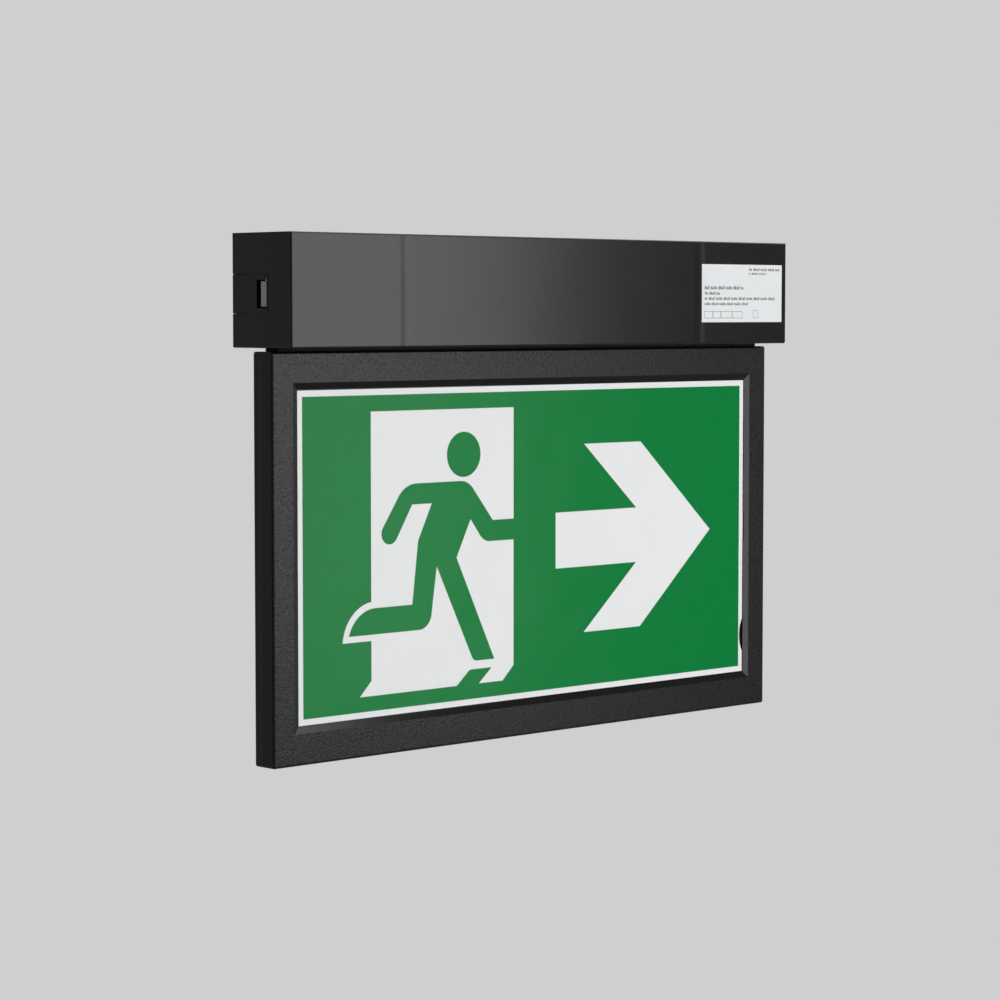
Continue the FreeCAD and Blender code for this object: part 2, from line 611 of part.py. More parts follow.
def make_grommet():
    """A rubber grommet with a collar above and below the top wall."""
    grommet = body("cable_grommet")
    wide = "EntryRadius + GrommetCollar"
    corners = (
        ("CableRadius", "-GrommetPlay"),
        (f"{wide} - GrommetPlay", "-GrommetPlay"),
        (f"{wide} - GrommetPlay", "-EntryRebate"),
        ("EntryRadius - GrommetPlay", "-EntryRebate"),
        ("EntryRadius - GrommetPlay", "-BaseWall"),
        (wide, "-BaseWall"),
        ("EntryRadius", "-BaseWall - GrommetCollar"),
        ("CableRadius", "-BaseWall - GrommetCollar"),
    )
    revolve(grommet, "Y", ENTRY_Y, "EntryPlace", "0", corners)
    return grommet


def make_clamp():
    """The bridge that holds the supply cable on its saddle."""
    clamp = body("cable_clamp")
    low = "-ClampDrop - ClampHeight / 2"
    high = "-ClampDrop + ClampHeight / 2"
    arch = "(CableRadius + ClampPlay)"
    foot = "(ClampScrewPlace + ClampBossRadius)"
    pad(clamp, "Z", low, high, (rectangle, f"EntryPlace - {foot}", f"EntryPlace + {foot}",
                                f"{ENTRY_Y} - ClampThick", ENTRY_Y))
    pad(clamp, "Z", low, high, (circle, "EntryPlace", ENTRY_Y, f"{arch} + ClampThick"))
    behind = (rectangle, f"EntryPlace - {foot} - Overcut", f"EntryPlace + {foot} + Overcut",
              ENTRY_Y, f"{ENTRY_Y} + {arch} + ClampThick + Overcut")
    pocket(clamp, "Z", f"{low} - Overcut", f"{high} + Overcut", behind)
    pocket(clamp, "Z", f"{low} - Overcut", f"{high} + Overcut", (circle, "EntryPlace", ENTRY_Y, arch))
    holes = [(circle, x, z, "ScrewRadius + ScrewPlay") for x, z in CLAMP_SPOTS]
    pocket(clamp, "Y", f"{ENTRY_Y} - ClampThick - Overcut", f"{ENTRY_Y} + Overcut", *holes)
    return clamp


def make_label():
    label = body("rating_label")
    right = f"({END} - LabelInset)"
    pad(label, "Y", f"{FRONT} - LabelThick", FRONT,
        (rectangle, f"{right} - LabelLength", right, "-LabelDrop - LabelHeight", "-LabelDrop"))
    return label


# ---------------------------------------------------------------- screws

def turned(profile):
    """A solid turned round the Y axis from corners given as (radius, depth)."""
    corners = [Vector(radius, depth, 0) for radius, depth in profile]
    face = Part.Face(Part.makePolygon(corners + corners[:1]))
    return face.revolve(Vector(), Vector(0, 1, 0), 360)


def screw(grip):
    """A small pan-head screw along +Y with a cross recess, its head's seat at the origin."""
    shank, head = value("ScrewRadius"), value("ScrewHeadRadius")
    tall, reach = value("ScrewHeadHeight"), value(grip)
    solid = turned((
        (0, -tall), (head * 0.7, -tall), (head, -tall * 0.3), (head, 0),
        (shank, 0), (shank, reach), (0, reach),
    ))
    arm = shank * 0.35
    for wide, high in ((head * 1.1, arm), (arm, head * 1.1)):
        recess = Part.makeBox(wide, tall, high, Vector(-wide / 2, -tall * 1.4, -high / 2))
        solid = solid.cut(recess)
    return solid


def make_screws():
    through = "BoardThick + ScrewGrip - 2 * ScrewPlay"
    spots = [(x, BOARD_FRONT, z) for x, z in driver_corners() + module_corners()]
    group("board_screws", screw(through), spots)
    spots = [(x, f"{ENTRY_Y} - ClampThick", z) for x, z in CLAMP_SPOTS]
    group("clamp_screws", screw("ClampThick + ScrewGrip"), spots)
    upright = screw("HangerThick + ScrewGrip - 2 * ScrewPlay")
    upright.rotate(Vector(), Vector(1, 0, 0), -90)
    seat = f"{FLOOR} + HangerPad + HangerThick"
    spots = [(f"{side} * HangerPlace", HANGER_SCREW_Y, seat) for side in (-1, 1)]
    group("hanger_screws", upright, spots)


# ---------------------------------------------------------------- gear

def make_board(label, middle, length, corners):
    board = body(label)
    pad(board, "Y", BOARD_FRONT, BOARD_BACK,
        (rectangle, f"{middle} - {length} / 2", f"{middle} + {length} / 2", BOARD_LOW, "-BoardDrop"))
    holes = [(circle, x, z, "ScrewRadius + ScrewPlay") for x, z in corners]
    pocket(board, "Y", f"{BOARD_FRONT} - Overcut", f"{BOARD_BACK} + Overcut", *holes)
    return board


BOARD_MIDDLE = "(-BoardDrop - BoardHeight / 2)"


def make_transformer():
    """A laminated core with its winding standing out above and below."""
    piece = body("driver_transformer")
    middle = "DriverPlace + DriverLength * 0.16"
    core = (rectangle, f"{middle} - TransformerLength / 2", f"{middle} + TransformerLength / 2",
            f"{BOARD_MIDDLE} - TransformerHeight / 2", f"{BOARD_MIDDLE} + TransformerHeight / 2")
    pad(piece, "Y", f"{BOARD_FRONT} - TransformerDepth", BOARD_FRONT, core)
    coil = (rectangle, f"{middle} - TransformerLength * 0.3", f"{middle} + TransformerLength * 0.3",
            f"{BOARD_MIDDLE} - TransformerHeight * 0.62", f"{BOARD_MIDDLE} + TransformerHeight * 0.62")
    ends = [f"{BOARD_FRONT} - TransformerDepth * {share}" for share in (0.85, 0.15)]
    pad(piece, "Y", *ends, coil)
    return piece


def make_capacitors():
    """Two upright cans, each with its rolled neck near the board."""
    can, length = value("CapacitorRadius"), value("CapacitorLength")
    rim, neck = can * 0.12, length * 0.14
    solid = turned((
        (0, -length), (can - rim, -length), (can, rim - length), (can, -neck - rim),
        (can - rim, -neck), (can, rim - neck), (can, 0), (0, 0),
    ))
    spots = [(f"DriverPlace - DriverLength * {share}", BOARD_FRONT, BOARD_MIDDLE) for share in (0.12, 0.235)]
    group("driver_capacitors", solid, spots)


def make_choke():
    """A wound ring core, flat against the board."""
    ring, wire = value("ChokeRadius"), value("ChokeWire")
    edge = wire * 0.4
    solid = turned((
        (ring - wire, -edge), (ring - wire + edge, 0), (ring + wire - edge, 0), (ring + wire, -edge),
        (ring + wire, edge - 2 * wire), (ring + wire - edge, -2 * wire), (ring - wire + edge, -2 * wire),
        (ring - wire, edge - 2 * wire),
    ))
    height = f"{BOARD_LOW} + PlugHeight * 1.2 + ChokeGap + ChokeRadius + ChokeWire"
    group("driver_choke", solid, [("DriverPlace - DriverLength * 0.37", BOARD_FRONT, height)])


def make_fuse():
    """A fuse in its holder: a tube with two caps, in two clips."""
    fuse = body("driver_fuse")
    middle = "DriverPlace + DriverLength * 0.385"
    height = f"{BOARD_MIDDLE} + BoardHeight * 0.14"
    depth = f"({BOARD_FRONT} - FuseRadius * 1.3)"
    ends = (f"{middle} - FuseLength / 2", f"{middle} + FuseLength / 2")
    cap = "FuseLength * 0.27"
    pad(fuse, "X", ends[0], ends[1], (circle, depth, height, "FuseRadius * 0.88"))
    for low, high in ((ends[0], f"{ends[0]} + {cap}"), (f"{ends[1]} - {cap}", ends[1])):
        pad(fuse, "X", low, high, (circle, depth, height, "FuseRadius"))
        pad(fuse, "X", f"{low} + Overcut", f"{high} - Overcut",
            (rectangle, depth, BOARD_FRONT, f"{height} - FuseRadius", f"{height} + FuseRadius"))
    return fuse


def make_plugs():
    """Board connectors with two wire chambers each, open to the front."""
    wide, high, deep = value("PlugLength"), value("PlugHeight"), value("PlugDepth")
    solid = Part.makeBox(wide, deep, high, Vector(-wide / 2, -deep, -high / 2))
    room = wide / 2 - deep * 0.15
    for side in (-1, 1):
        corner = Vector(side * wide / 4 - room / 2, -deep - 1, -high * 0.3)
        solid = solid.cut(Part.makeBox(room, deep * 0.7 + 1, high * 0.6, corner))
    height = f"{BOARD_LOW} + PlugHeight * 0.7"
    places = (
        "DriverPlace - DriverLength * 0.35",
        "DriverPlace + DriverLength * 0.385",
        "ModulePlace - ModuleLength * 0.25",
    )
    group("board_connectors", solid, [(x, BOARD_FRONT, height) for x in places])


DIAL_SPOTS = [
    (f"ModulePlace + ModuleLength * 0.12 + {side} * DialPitch / 2", BOARD_MIDDLE) for side in (-1, 1)
]
DIAL_FACE = f"({BOARD_FRONT} - DialBaseDepth)"


def make_dials():
    """Two rotary switches: their squares, and a turning part in each."""
    squares = body("dial_sockets")
    half = "DialBase / 2"
    blocks = [
        (rectangle, f"{x} - {half}", f"{x} + {half}", f"{z} - {half}", f"{z} + {half}")
        for x, z in DIAL_SPOTS
    ]
    pad(squares, "Y", DIAL_FACE, BOARD_FRONT, *blocks)
    wells = [(circle, x, z, "DialRadius + DialPlay") for x, z in DIAL_SPOTS]
    pocket(squares, "Y", f"{DIAL_FACE} - Overcut", f"{DIAL_FACE} + DialSink + DialPlay", *wells)
    for name, (x, z) in zip(("tens", "units"), DIAL_SPOTS):
        dial = body(f"address_dial_{name}")
        pad(dial, "Y", f"{DIAL_FACE} - DialProud", f"{DIAL_FACE} + DialSink", (circle, x, z, "DialRadius"))
        pocket(dial, "Y", f"{DIAL_FACE} - DialProud - Overcut", f"{DIAL_FACE} + DialSlot - DialProud",
               (rectangle, f"{x} - DialSlot / 2", f"{x} + DialSlot / 2",
                f"{z} - DialRadius * 0.7", f"{z} + DialRadius * 0.7"))


def make_chip():
    chip = body("address_chip")
    x = "ModulePlace - ModuleLength * 0.25"
    pad(chip, "Y", f"{BOARD_FRONT} - BoardThick", BOARD_FRONT,
        (rectangle, f"{x} - DialBase / 2", f"{x} + DialBase / 2",
         f"{BOARD_MIDDLE} + DialBase * 0.1", f"{BOARD_MIDDLE} + DialBase * 0.9"))
    edge = value(f"{BOARD_FRONT} - BoardThick")
    dress("Chamfer", chip, "BoardThick / 4", lambda p: abs(p.y - edge) < 0.02)
    return chip


def make_terminals():
    """A three-pole terminal block, screws to the front and wires from above and below."""
    block = body("terminal_block")
    left = "TerminalLeft"
    right = "(TerminalLeft + PoleCount * PoleWidth)"
    high, low = "(-TerminalDrop)", "(-TerminalDrop - TerminalHeight)"
    front = f"({INNER_BACK} - TerminalDepth)"
    step = "TerminalHeight * 0.22"
    outline = (
        (INNER_BACK, low),
        (f"{front} + TerminalDepth * 0.3", low),
        (f"{front} + TerminalDepth * 0.3", f"{low} + {step} * 0.6"),
        (front, f"{low} + {step}"),
        (front, f"{high} - {step}"),
        (f"{front} + TerminalDepth * 0.3", f"{high} - {step} * 0.6"),
        (f"{front} + TerminalDepth * 0.3", high),
        (INNER_BACK, high),
    )
    pad(block, "X", left, right, (polygon, outline))
    wire_y = f"{front} + TerminalDepth * 0.62"
    first = f"{left} + PoleWidth / 2"
    wires = pocket(block, "Z", f"{low} - Overcut", f"{high} + Overcut",
                   (circle, first, wire_y, "TerminalWireRadius"))
    repeat(block, wires, "X", "PoleWidth", "PoleCount")
    middle = f"({low} + TerminalHeight / 2)"
    shafts = pocket(block, "Y", f"{front} - Overcut", f"{front} + TerminalDepth * 0.5",
                    (circle, first, f"{middle} + TerminalHeight * 0.15", "TerminalScrewRadius + ScrewPlay"),
                    (circle, first, f"{middle} - TerminalHeight * 0.15", "TerminalScrewRadius + ScrewPlay"))
    repeat(block, shafts, "X", "PoleWidth", "PoleCount")
    grooves = pocket(block, "Y", f"{front} - Overcut", f"{front} + TerminalDepth * 0.2",
                     (rectangle, f"{left} + PoleWidth - PoleGroove / 2",
                      f"{left} + PoleWidth + PoleGroove / 2", f"{low} - Overcut", f"{high} + Overcut"))
    repeat(block, grooves, "X", "PoleWidth", "PoleCount - Overcut")
    # screws in their shafts
    size, tall = value("TerminalScrewRadius"), value("TerminalDepth") * 0.3
    solid = Part.makeCylinder(size, tall, Vector(), Vector(0, 1, 0))
    cut = Part.makeBox(size * 2.2, tall * 0.3, size * 0.35, Vector(-size * 1.1, 0, -size * 0.175))
    solid = solid.cut(cut)
    seat = f"{front} + TerminalDepth * 0.2"
    spots = [
        (f"{first} + {pole} * PoleWidth", seat, f"{middle} + {sign} * TerminalHeight * 0.15")
        for pole in range(int(value("PoleCount")))
        for sign in (-1, 1)
    ]
    group("terminal_screws", solid, spots)


# ---------------------------------------------------------------- light source

def make_rail():
    """The aluminium rail: a channel that stands on the floor with its web on top."""
    rail = body("light_rail")
    wide, thin = "RailWidth / 2", "(RailWidth / 2 - RailWall)"
    outline = (
        (f"-{wide}", FLOOR), (f"-{thin}", FLOOR), (f"-{thin}", STRIP_TOP), (thin, STRIP_TOP),
        (thin, FLOOR), (wide, FLOOR), (wide, "RailTop"), (f"-{wide}", "RailTop"),
    )
    pad(rail, "X", "-RailLength / 2", "RailLength / 2", (polygon, outline))
    return rail


def make_lamps():
    strip = body("lamp_board")
    half = "(RailWidth / 2 - RailWall - StripPlay)"
    length = "(RailLength / 2 - GuideNeckInset)"
    pad(strip, "Z", LAMP_TOP, STRIP_TOP, (rectangle, f"-{length}", length, f"-{half}", half))
    long, wide, tall = (value(name) for name in ("LampLength", "LampWidth", "LampHeight"))
    solid = Part.makeBox(long, wide, tall, Vector(-long / 2, -wide / 2, -tall))
    count = int(value("LampCount"))
    pitch = f"((RailLength - 2 * GuideNeckInset) / {count})"
    spots = [(f"{pitch} * ({index} - {(count - 1) / 2})", "0", LAMP_TOP) for index in range(count)]
    group("lamps", solid, spots)


def make_light_guide():
    """The clear plate behind both legends; its neck rises into the rail."""
    guide = body("light_guide")
    thin = "GuideThick / 2"
    left, right, low, high = window("PaneRebate - PanePlay - BevelWidth")
    neck = "(RailLength / 2 - GuideNeckInset)"
    outline = (
        (left, low), (right, low), (right, high), (neck, high),
        (neck, GUIDE_TOP), (f"-{neck}", GUIDE_TOP), (f"-{neck}", high), (left, high),
    )
    pad(guide, "Y", f"-{thin}", thin, (polygon, outline))
    return guide


def make_hanger(name, side):
    """A bent steel strap: its foot on the floor, its leg between the frame's halves."""
    hanger = body(f"hanger_{name}")
    middle = f"{side} * HangerPlace"
    left, right = f"{middle} - HangerWidth / 2", f"{middle} + HangerWidth / 2"
    seat = f"({FLOOR} + HangerPad)"
    half = "HangerThick / 2"
    outline = (
        (f"-{half}", f"{FRAME_TOP} - HangerDrop"),
        (half, f"{FRAME_TOP} - HangerDrop"),
        (half, seat),
        (f"{half} + HangerFoot", seat),
        (f"{half} + HangerFoot", f"{seat} + HangerThick"),
        (f"-{half}", f"{seat} + HangerThick"),
    )
    pad(hanger, "X", left, right, (polygon, outline))
    pocket(hanger, "Z", f"{seat} - Overcut", f"{seat} + HangerThick + Overcut",
           (circle, middle, HANGER_SCREW_Y, "ScrewRadius + ScrewPlay"))
    pocket(hanger, "Y", f"-{half} - Overcut", f"{half} + Overcut",
           (circle, middle, f"{FRAME_TOP} - HangerDrop * 0.6", "PegRadius + PegPlay"))
    return hanger


# ---------------------------------------------------------------- sign frame

SIDE_PITCH = "(WindowHigh / SideCells)"
LOW_PITCH = "(WindowLength / LowCells)"
CELL_INNER = "(PaneRebate - BevelWidth + FrameSkin)"
RIM_X = "(FrameLength / 2 - FrameSkin)"
RIM_LOW = "(-HousingHeight - SignGap - FrameHeight + FrameSkin)"


def peg_spots():
    """Pegs sit in the bridges between the hollow cells, and in the hangers."""
    x = f"((WindowLength / 2 + {CELL_INNER} + {RIM_X}) / 2)"
    z = f"(({SIGN_MIDDLE} - WindowHigh / 2 - {CELL_INNER} + {RIM_LOW}) / 2)"
    spots = [
        (f"{side} * {x}", f"{SIGN_MIDDLE} + {step} * (SideCells / 2 - 1) * {SIDE_PITCH}")
        for side in (-1, 1)
        for step in (-1, 1)
    ]
    spots += [(f"{step} * (LowCells / 2 - 1) * {LOW_PITCH}", z) for step in (-1, 1)]
    spots += [(f"{side} * HangerPlace", f"{FRAME_TOP} - HangerDrop * 0.6") for side in (-1, 1)]
    return spots


def make_bezel(name, side):
    """Half of the sign frame: a bevelled window, a seat for the film, hollow borders."""
    bezel = body(f"{name}_bezel")
    near, far = both(side, "0", "FrameDepth / 2")
    outer = (rectangle, "-FrameLength / 2", "FrameLength / 2", FRAME_LOW, FRAME_TOP)
    pad(bezel, "Y", near, far, outer)
    near, far = both(side, "-Overcut", "FrameDepth / 2 + Overcut")
    pocket(bezel, "Y", near, far, (rectangle, *window("-BevelWidth - SeatWidth")))
    near, far = both(side, "SeatLevel", "FrameDepth / 2 + Overcut")
    pocket(bezel, "Y", near, far, (rectangle, *window("-BevelWidth")))
    bevel(bezel, side)
    near, far = both(side, "-Overcut", SEAT_UNDER)
    pocket(bezel, "Y", near, far, (rectangle, *window("PaneRebate - BevelWidth")))
    # the light guide's neck and the hangers come in from above
    neck = "(RailLength / 2 - GuideNeckInset + HangerPlay)"
    rebate_high = f"{SIGN_MIDDLE} + WindowHigh / 2 + PaneRebate - BevelWidth"
    near, far = both(side, "-Overcut", "GuideThick / 2 + HangerPlay / 2")
    pocket(bezel, "Y", near, far,
           (rectangle, f"-{neck}", neck, f"{rebate_high} - Overcut", f"{FRAME_TOP} + Overcut"))
    for middle in ("-HangerPlace", "HangerPlace"):
        near, far = both(side, "-Overcut", "HangerThick / 2 + HangerPlay / 4")
        wide = "(HangerWidth / 2 + HangerPlay)"
        pocket(bezel, "Y", near, far, (rectangle, f"{middle} - {wide}", f"{middle} + {wide}",
                                       f"{FRAME_TOP} - HangerDrop - HangerPlay", f"{FRAME_TOP} + Overcut"))
    hollow_borders(bezel, side)
    join(bezel, side)
    near, far = both(side, "SeatLevel", f"SeatLevel + FilmThick + HangerPlay")
    ear_x = "(WindowLength / 2 - BevelWidth)"
    pocket(bezel, "Y", near, far,
           (rectangle, f"{ear_x} - Overcut", f"{ear_x} + EarReach",
            f"{SIGN_MIDDLE} - EarLength / 2 - PanePlay", f"{SIGN_MIDDLE} + EarLength / 2 + PanePlay"))
    face = at(side * value("FrameDepth / 2"))
    ends, top, low = at(value("FrameLength / 2")), at(value(FRAME_TOP)), at(value(FRAME_LOW))
    dress("Fillet", bezel, "FrameCorner", lambda p: ends(abs(p.x)) and (top(p.z) or low(p.z)))
    rim = value("FrameLength / 2 - FrameCorner") - 0.05
    dress("Fillet", bezel, "FrameRadius", lambda p: (
        face(p.y) and (abs(p.x) > rim or top(p.z) or low(p.z))
    ))
    return bezel


def bevel(bezel, side):
    """The sloping faces round the window, mitred at its corners."""
    sections = []
    for depth, grow in (("FrameDepth / 2 + Overcut", "Overcut * BevelWidth / BevelDepth"),
                        ("FrameDepth / 2 - BevelDepth", "-BevelWidth")):
        sketch = sketch_at(bezel, "Y", f"{side} * ({depth})")
        rectangle(sketch, *window(grow))
        sections.append(sketch)
    slope = bezel.newObject("PartDesign::SubtractiveLoft", f"{bezel.Name}_bevel")
    slope.Profile = sections[0]
    slope.Sections = sections[1:]
    slope.Ruled = True
    doc.recompute()


def hollow_borders(bezel, side):
    """Rows of cells cored out of the borders from the inside, with bridges between."""
    near, far = both(side, "-Overcut", "FrameDepth / 2 - FrameSkin")
    low = f"({SIGN_MIDDLE} - WindowHigh / 2)"
    for half in (-1, 1):
        left, right = both(half, f"WindowLength / 2 + {CELL_INNER}", RIM_X)
        cell = pocket(bezel, "Y", near, far,
                      (rectangle, left, right,
                       f"{low} + CellBridge / 2", f"{low} + {SIDE_PITCH} - CellBridge / 2"))
        repeat(bezel, cell, "Z", SIDE_PITCH, "SideCells")
    left = "-WindowLength / 2"
    cell = pocket(bezel, "Y", near, far,
                  (rectangle, f"{left} + CellBridge / 2", f"{left} + {LOW_PITCH} - CellBridge / 2",
                   RIM_LOW, f"{low} - {CELL_INNER}"))
    repeat(bezel, cell, "X", LOW_PITCH, "LowCells")


def join(bezel, side):
    """Pegs on the front half, and holes for them in the rear half."""
    if side < 0:
        pegs = [(circle, x, z, "PegRadius") for x, z in peg_spots()]
        pad(bezel, "Y", "-HangerThick", "PegLength", *pegs)
    else:
        holes = [(circle, x, z, "PegRadius + PegPlay") for x, z in peg_spots()]
        pocket(bezel, "Y", "-Overcut", "PegLength + PegPlay", *holes)


def make_diffuser(name, side):
    pane = body(f"{name}_diffuser")
    near, far = both(side, f"{SEAT_UNDER} - DiffuserThick", SEAT_UNDER)
    pad(pane, "Y", near, far, (rectangle, *window("PaneRebate - BevelWidth - PanePlay")))
    return pane


def make_film(name, side):
    """The legend film, with its thumb notch and the ear that tucks into the frame."""
    film = body(f"{name}_film")
    near, far = both(side, "SeatLevel", f"SeatLevel + FilmThick")
    pad(film, "Y", near, far, (rectangle, *window("-BevelWidth - FilmPlay")))
    edge = "(FilmLength / 2)"
    pad(film, "Y", near, far,
        (rectangle, f"{edge} - Overcut", f"{edge} + EarReach",
         f"{SIGN_MIDDLE} - EarLength / 2", f"{SIGN_MIDDLE} + EarLength / 2"))
    radius = "(NotchChord ^ 2 / (8 * NotchDepth) + NotchDepth / 2)"
    near, far = both(side, f"SeatLevel - Overcut", f"SeatLevel + FilmThick + Overcut")
    pocket(film, "Y", near, far,
           (circle, f"{edge} - NotchDepth + {radius}", f"{SIGN_MIDDLE} - FilmHeight / 2 + NotchRise", radius))
    return film


# ---------------------------------------------------------------- legend
# Outlines from the field's upper left corner, x right and y down, to the scale of FIELD.
# A point is a corner; a pair of points is an arc through the first to the second.

FIELD = ((0, 0), (300, 0), (300, 150), (0, 150))
DOOR = ((41.6, 7.7), (134.5, 7.7), (134.5, 135.6), (127, 142.8), (34.3, 142.8), (41.6, 135.5))
FOOT_HALO = ((41.6, 97.9), ((29.8, 103.6), (23.8, 116.5)), (60, 116.5), (60, 97.9))
SHADOW = ((96, 143), ((99.6, 138), (106, 135.5)), (119.5, 135.5), (110.7, 143))
HEAD = (101.1, 29.9, 11.0)
RUNNER = (
    (70, 42.8), (99, 42.8), ((104.4, 44.3), (108, 47.8)), (120.3, 62.8), (136, 62.8), (136, 73.1),
    (119, 73.1), ((115, 72.4), (112, 70)), (105.5, 61.6), (96.2, 80), (121.3, 131.4), (109.5, 131.4),
    ((107.7, 130.8), (106.3, 129)), (83.3, 83.3), (79.9, 106), ((77.4, 111.3), (72, 113.5)),
    (27.8, 113.5), ((33.6, 104.8), (44, 101)), (67.6, 101), (71.4, 70.5), (80.3, 52.8), (67.6, 52.8),
    (57.8, 68.5), ((50.7, 70.5), (48.9, 63.5)), (58.5, 49.5), ((63.4, 44.7), (70, 42.8)),
)
ARROW = (
    (183.4, 27.3), (224.5, 27.3), (277.2, 75.3), (224.3, 123), (183.3, 123), (221.3, 89.5),
    (163.4, 89.5), (163.4, 61.3), (221.3, 61.3),
)


def slab(points, thick):
    """A flat piece of the legend, in millimetres, at the field's own place."""
    length, height = FIELD[2]
    scale = value("LegendLength") / length
    middle = value(SIGN_MIDDLE)

    def spot(point):
        x, z = point[0] - length / 2, height / 2 - point[1]
        return Vector(x * scale, 0, middle + z * scale)

    if len(points) == 3 and not isinstance(points[0], tuple):
        ring = Part.makeCircle(points[2] * scale, spot(points), Vector(0, 1, 0))
        return Part.Face(Part.Wire(ring)).extrude(Vector(0, thick, 0))
    lines = []
    here = spot(points[0])
    for point in points[1:]:
        if isinstance(point[0], tuple):
            there = spot(point[1])
            lines.append(Part.Arc(here, spot(point[0]), there).toShape())
        else:
            there = spot(point)
            lines.append(Part.makeLine(here, there))
        here = there
    if (here - spot(points[0])).Length > 0.001:
        lines.append(Part.makeLine(here, spot(points[0])))
    return Part.Face(Part.Wire(lines)).extrude(Vector(0, thick, 0))


def make_legends():
    """The green print: the field less the doorway and the arrow, with the runner on it."""
    thick = value("InkThick")
    white = slab(DOOR, thick).fuse(slab(FOOT_HALO, thick))
    ink = slab(FIELD, thick).cut(white).cut(slab(ARROW, thick))
    ink = ink.fuse([slab(RUNNER, thick), slab(SHADOW, thick), slab(HEAD, thick)]).removeSplitter()
    ink.translate(Vector(0, -value(f"SeatLevel + FilmThick + InkThick"), 0))
    shaped("front_legend", ink)
    shaped("rear_legend", ink.mirror(Vector(), Vector(0, 1, 0)))


# ---------------------------------------------------------------- assembly

make_base()
make_cover()
for name, side in SIDES:
    make_catch(name, side)
make_label()
make_grommet()
make_clamp()
make_screws()
make_board("driver_board", "DriverPlace", "DriverLength", driver_corners())
make_board("address_board", "ModulePlace", "ModuleLength", module_corners())
make_transformer()
make_capacitors()
make_choke()
make_fuse()
make_plugs()
make_dials()
make_chip()
make_terminals()
make_rail()
make_lamps()
make_light_guide()
for name, side in SIDES:
    make_hanger(name, side)
for name, side in (("front", -1), ("rear", 1)):
    make_bezel(name, side)
    make_diffuser(name, side)
    make_film(name, side)
make_legends()
doc.recompute()

faults = [o.Label for o in doc.Objects if {"Invalid", "Error"} & set(o.State)]
if faults:
    raise RuntimeError(f"failed: {faults}")

KINDS = ("PartDesign::Body", "Part::Feature")
pieces = [o for o in doc.Objects if o.TypeId in KINDS and not o.getParentGeoFeatureGroup()]
for piece in pieces:
    if piece.Shape.isNull() or not piece.Shape.isValid():
        raise RuntimeError(f"{piece.Label} is not a valid solid")

os.makedirs("parts", exist_ok=True)
for piece in pieces:
    piece.Shape.exportStep(f"parts/{piece.Label}.step")
    print(piece.Label, len(piece.Shape.Solids), round(piece.Shape.Volume, 1))
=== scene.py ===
import math

import bmesh
import bpy
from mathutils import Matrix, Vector

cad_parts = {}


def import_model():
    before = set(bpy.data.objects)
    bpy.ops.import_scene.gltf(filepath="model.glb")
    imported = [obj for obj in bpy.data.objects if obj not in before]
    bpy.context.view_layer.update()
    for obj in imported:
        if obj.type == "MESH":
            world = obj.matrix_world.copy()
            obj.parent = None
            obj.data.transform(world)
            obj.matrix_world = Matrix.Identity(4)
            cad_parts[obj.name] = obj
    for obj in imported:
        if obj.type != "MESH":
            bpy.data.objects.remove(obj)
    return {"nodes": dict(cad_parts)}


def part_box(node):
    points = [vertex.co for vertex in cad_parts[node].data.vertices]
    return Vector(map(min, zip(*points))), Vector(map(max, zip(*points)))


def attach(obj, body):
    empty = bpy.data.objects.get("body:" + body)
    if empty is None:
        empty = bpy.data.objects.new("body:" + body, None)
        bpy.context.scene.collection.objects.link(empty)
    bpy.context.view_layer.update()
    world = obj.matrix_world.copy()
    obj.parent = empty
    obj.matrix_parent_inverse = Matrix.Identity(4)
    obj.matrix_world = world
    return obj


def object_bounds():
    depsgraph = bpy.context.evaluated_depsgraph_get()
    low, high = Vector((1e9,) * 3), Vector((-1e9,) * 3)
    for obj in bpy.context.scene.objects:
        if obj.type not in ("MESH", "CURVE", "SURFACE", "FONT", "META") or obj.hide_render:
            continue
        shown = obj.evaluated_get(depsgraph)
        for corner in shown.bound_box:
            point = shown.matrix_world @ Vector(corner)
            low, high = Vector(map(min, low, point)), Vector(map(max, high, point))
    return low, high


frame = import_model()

CAD_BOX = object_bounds()
NODES = frame["nodes"]
MM = 0.001
CORNERS = ((-1, -1), (1, -1), (1, 1), (-1, 1))


# ---------------------------------------------------------------- node helpers

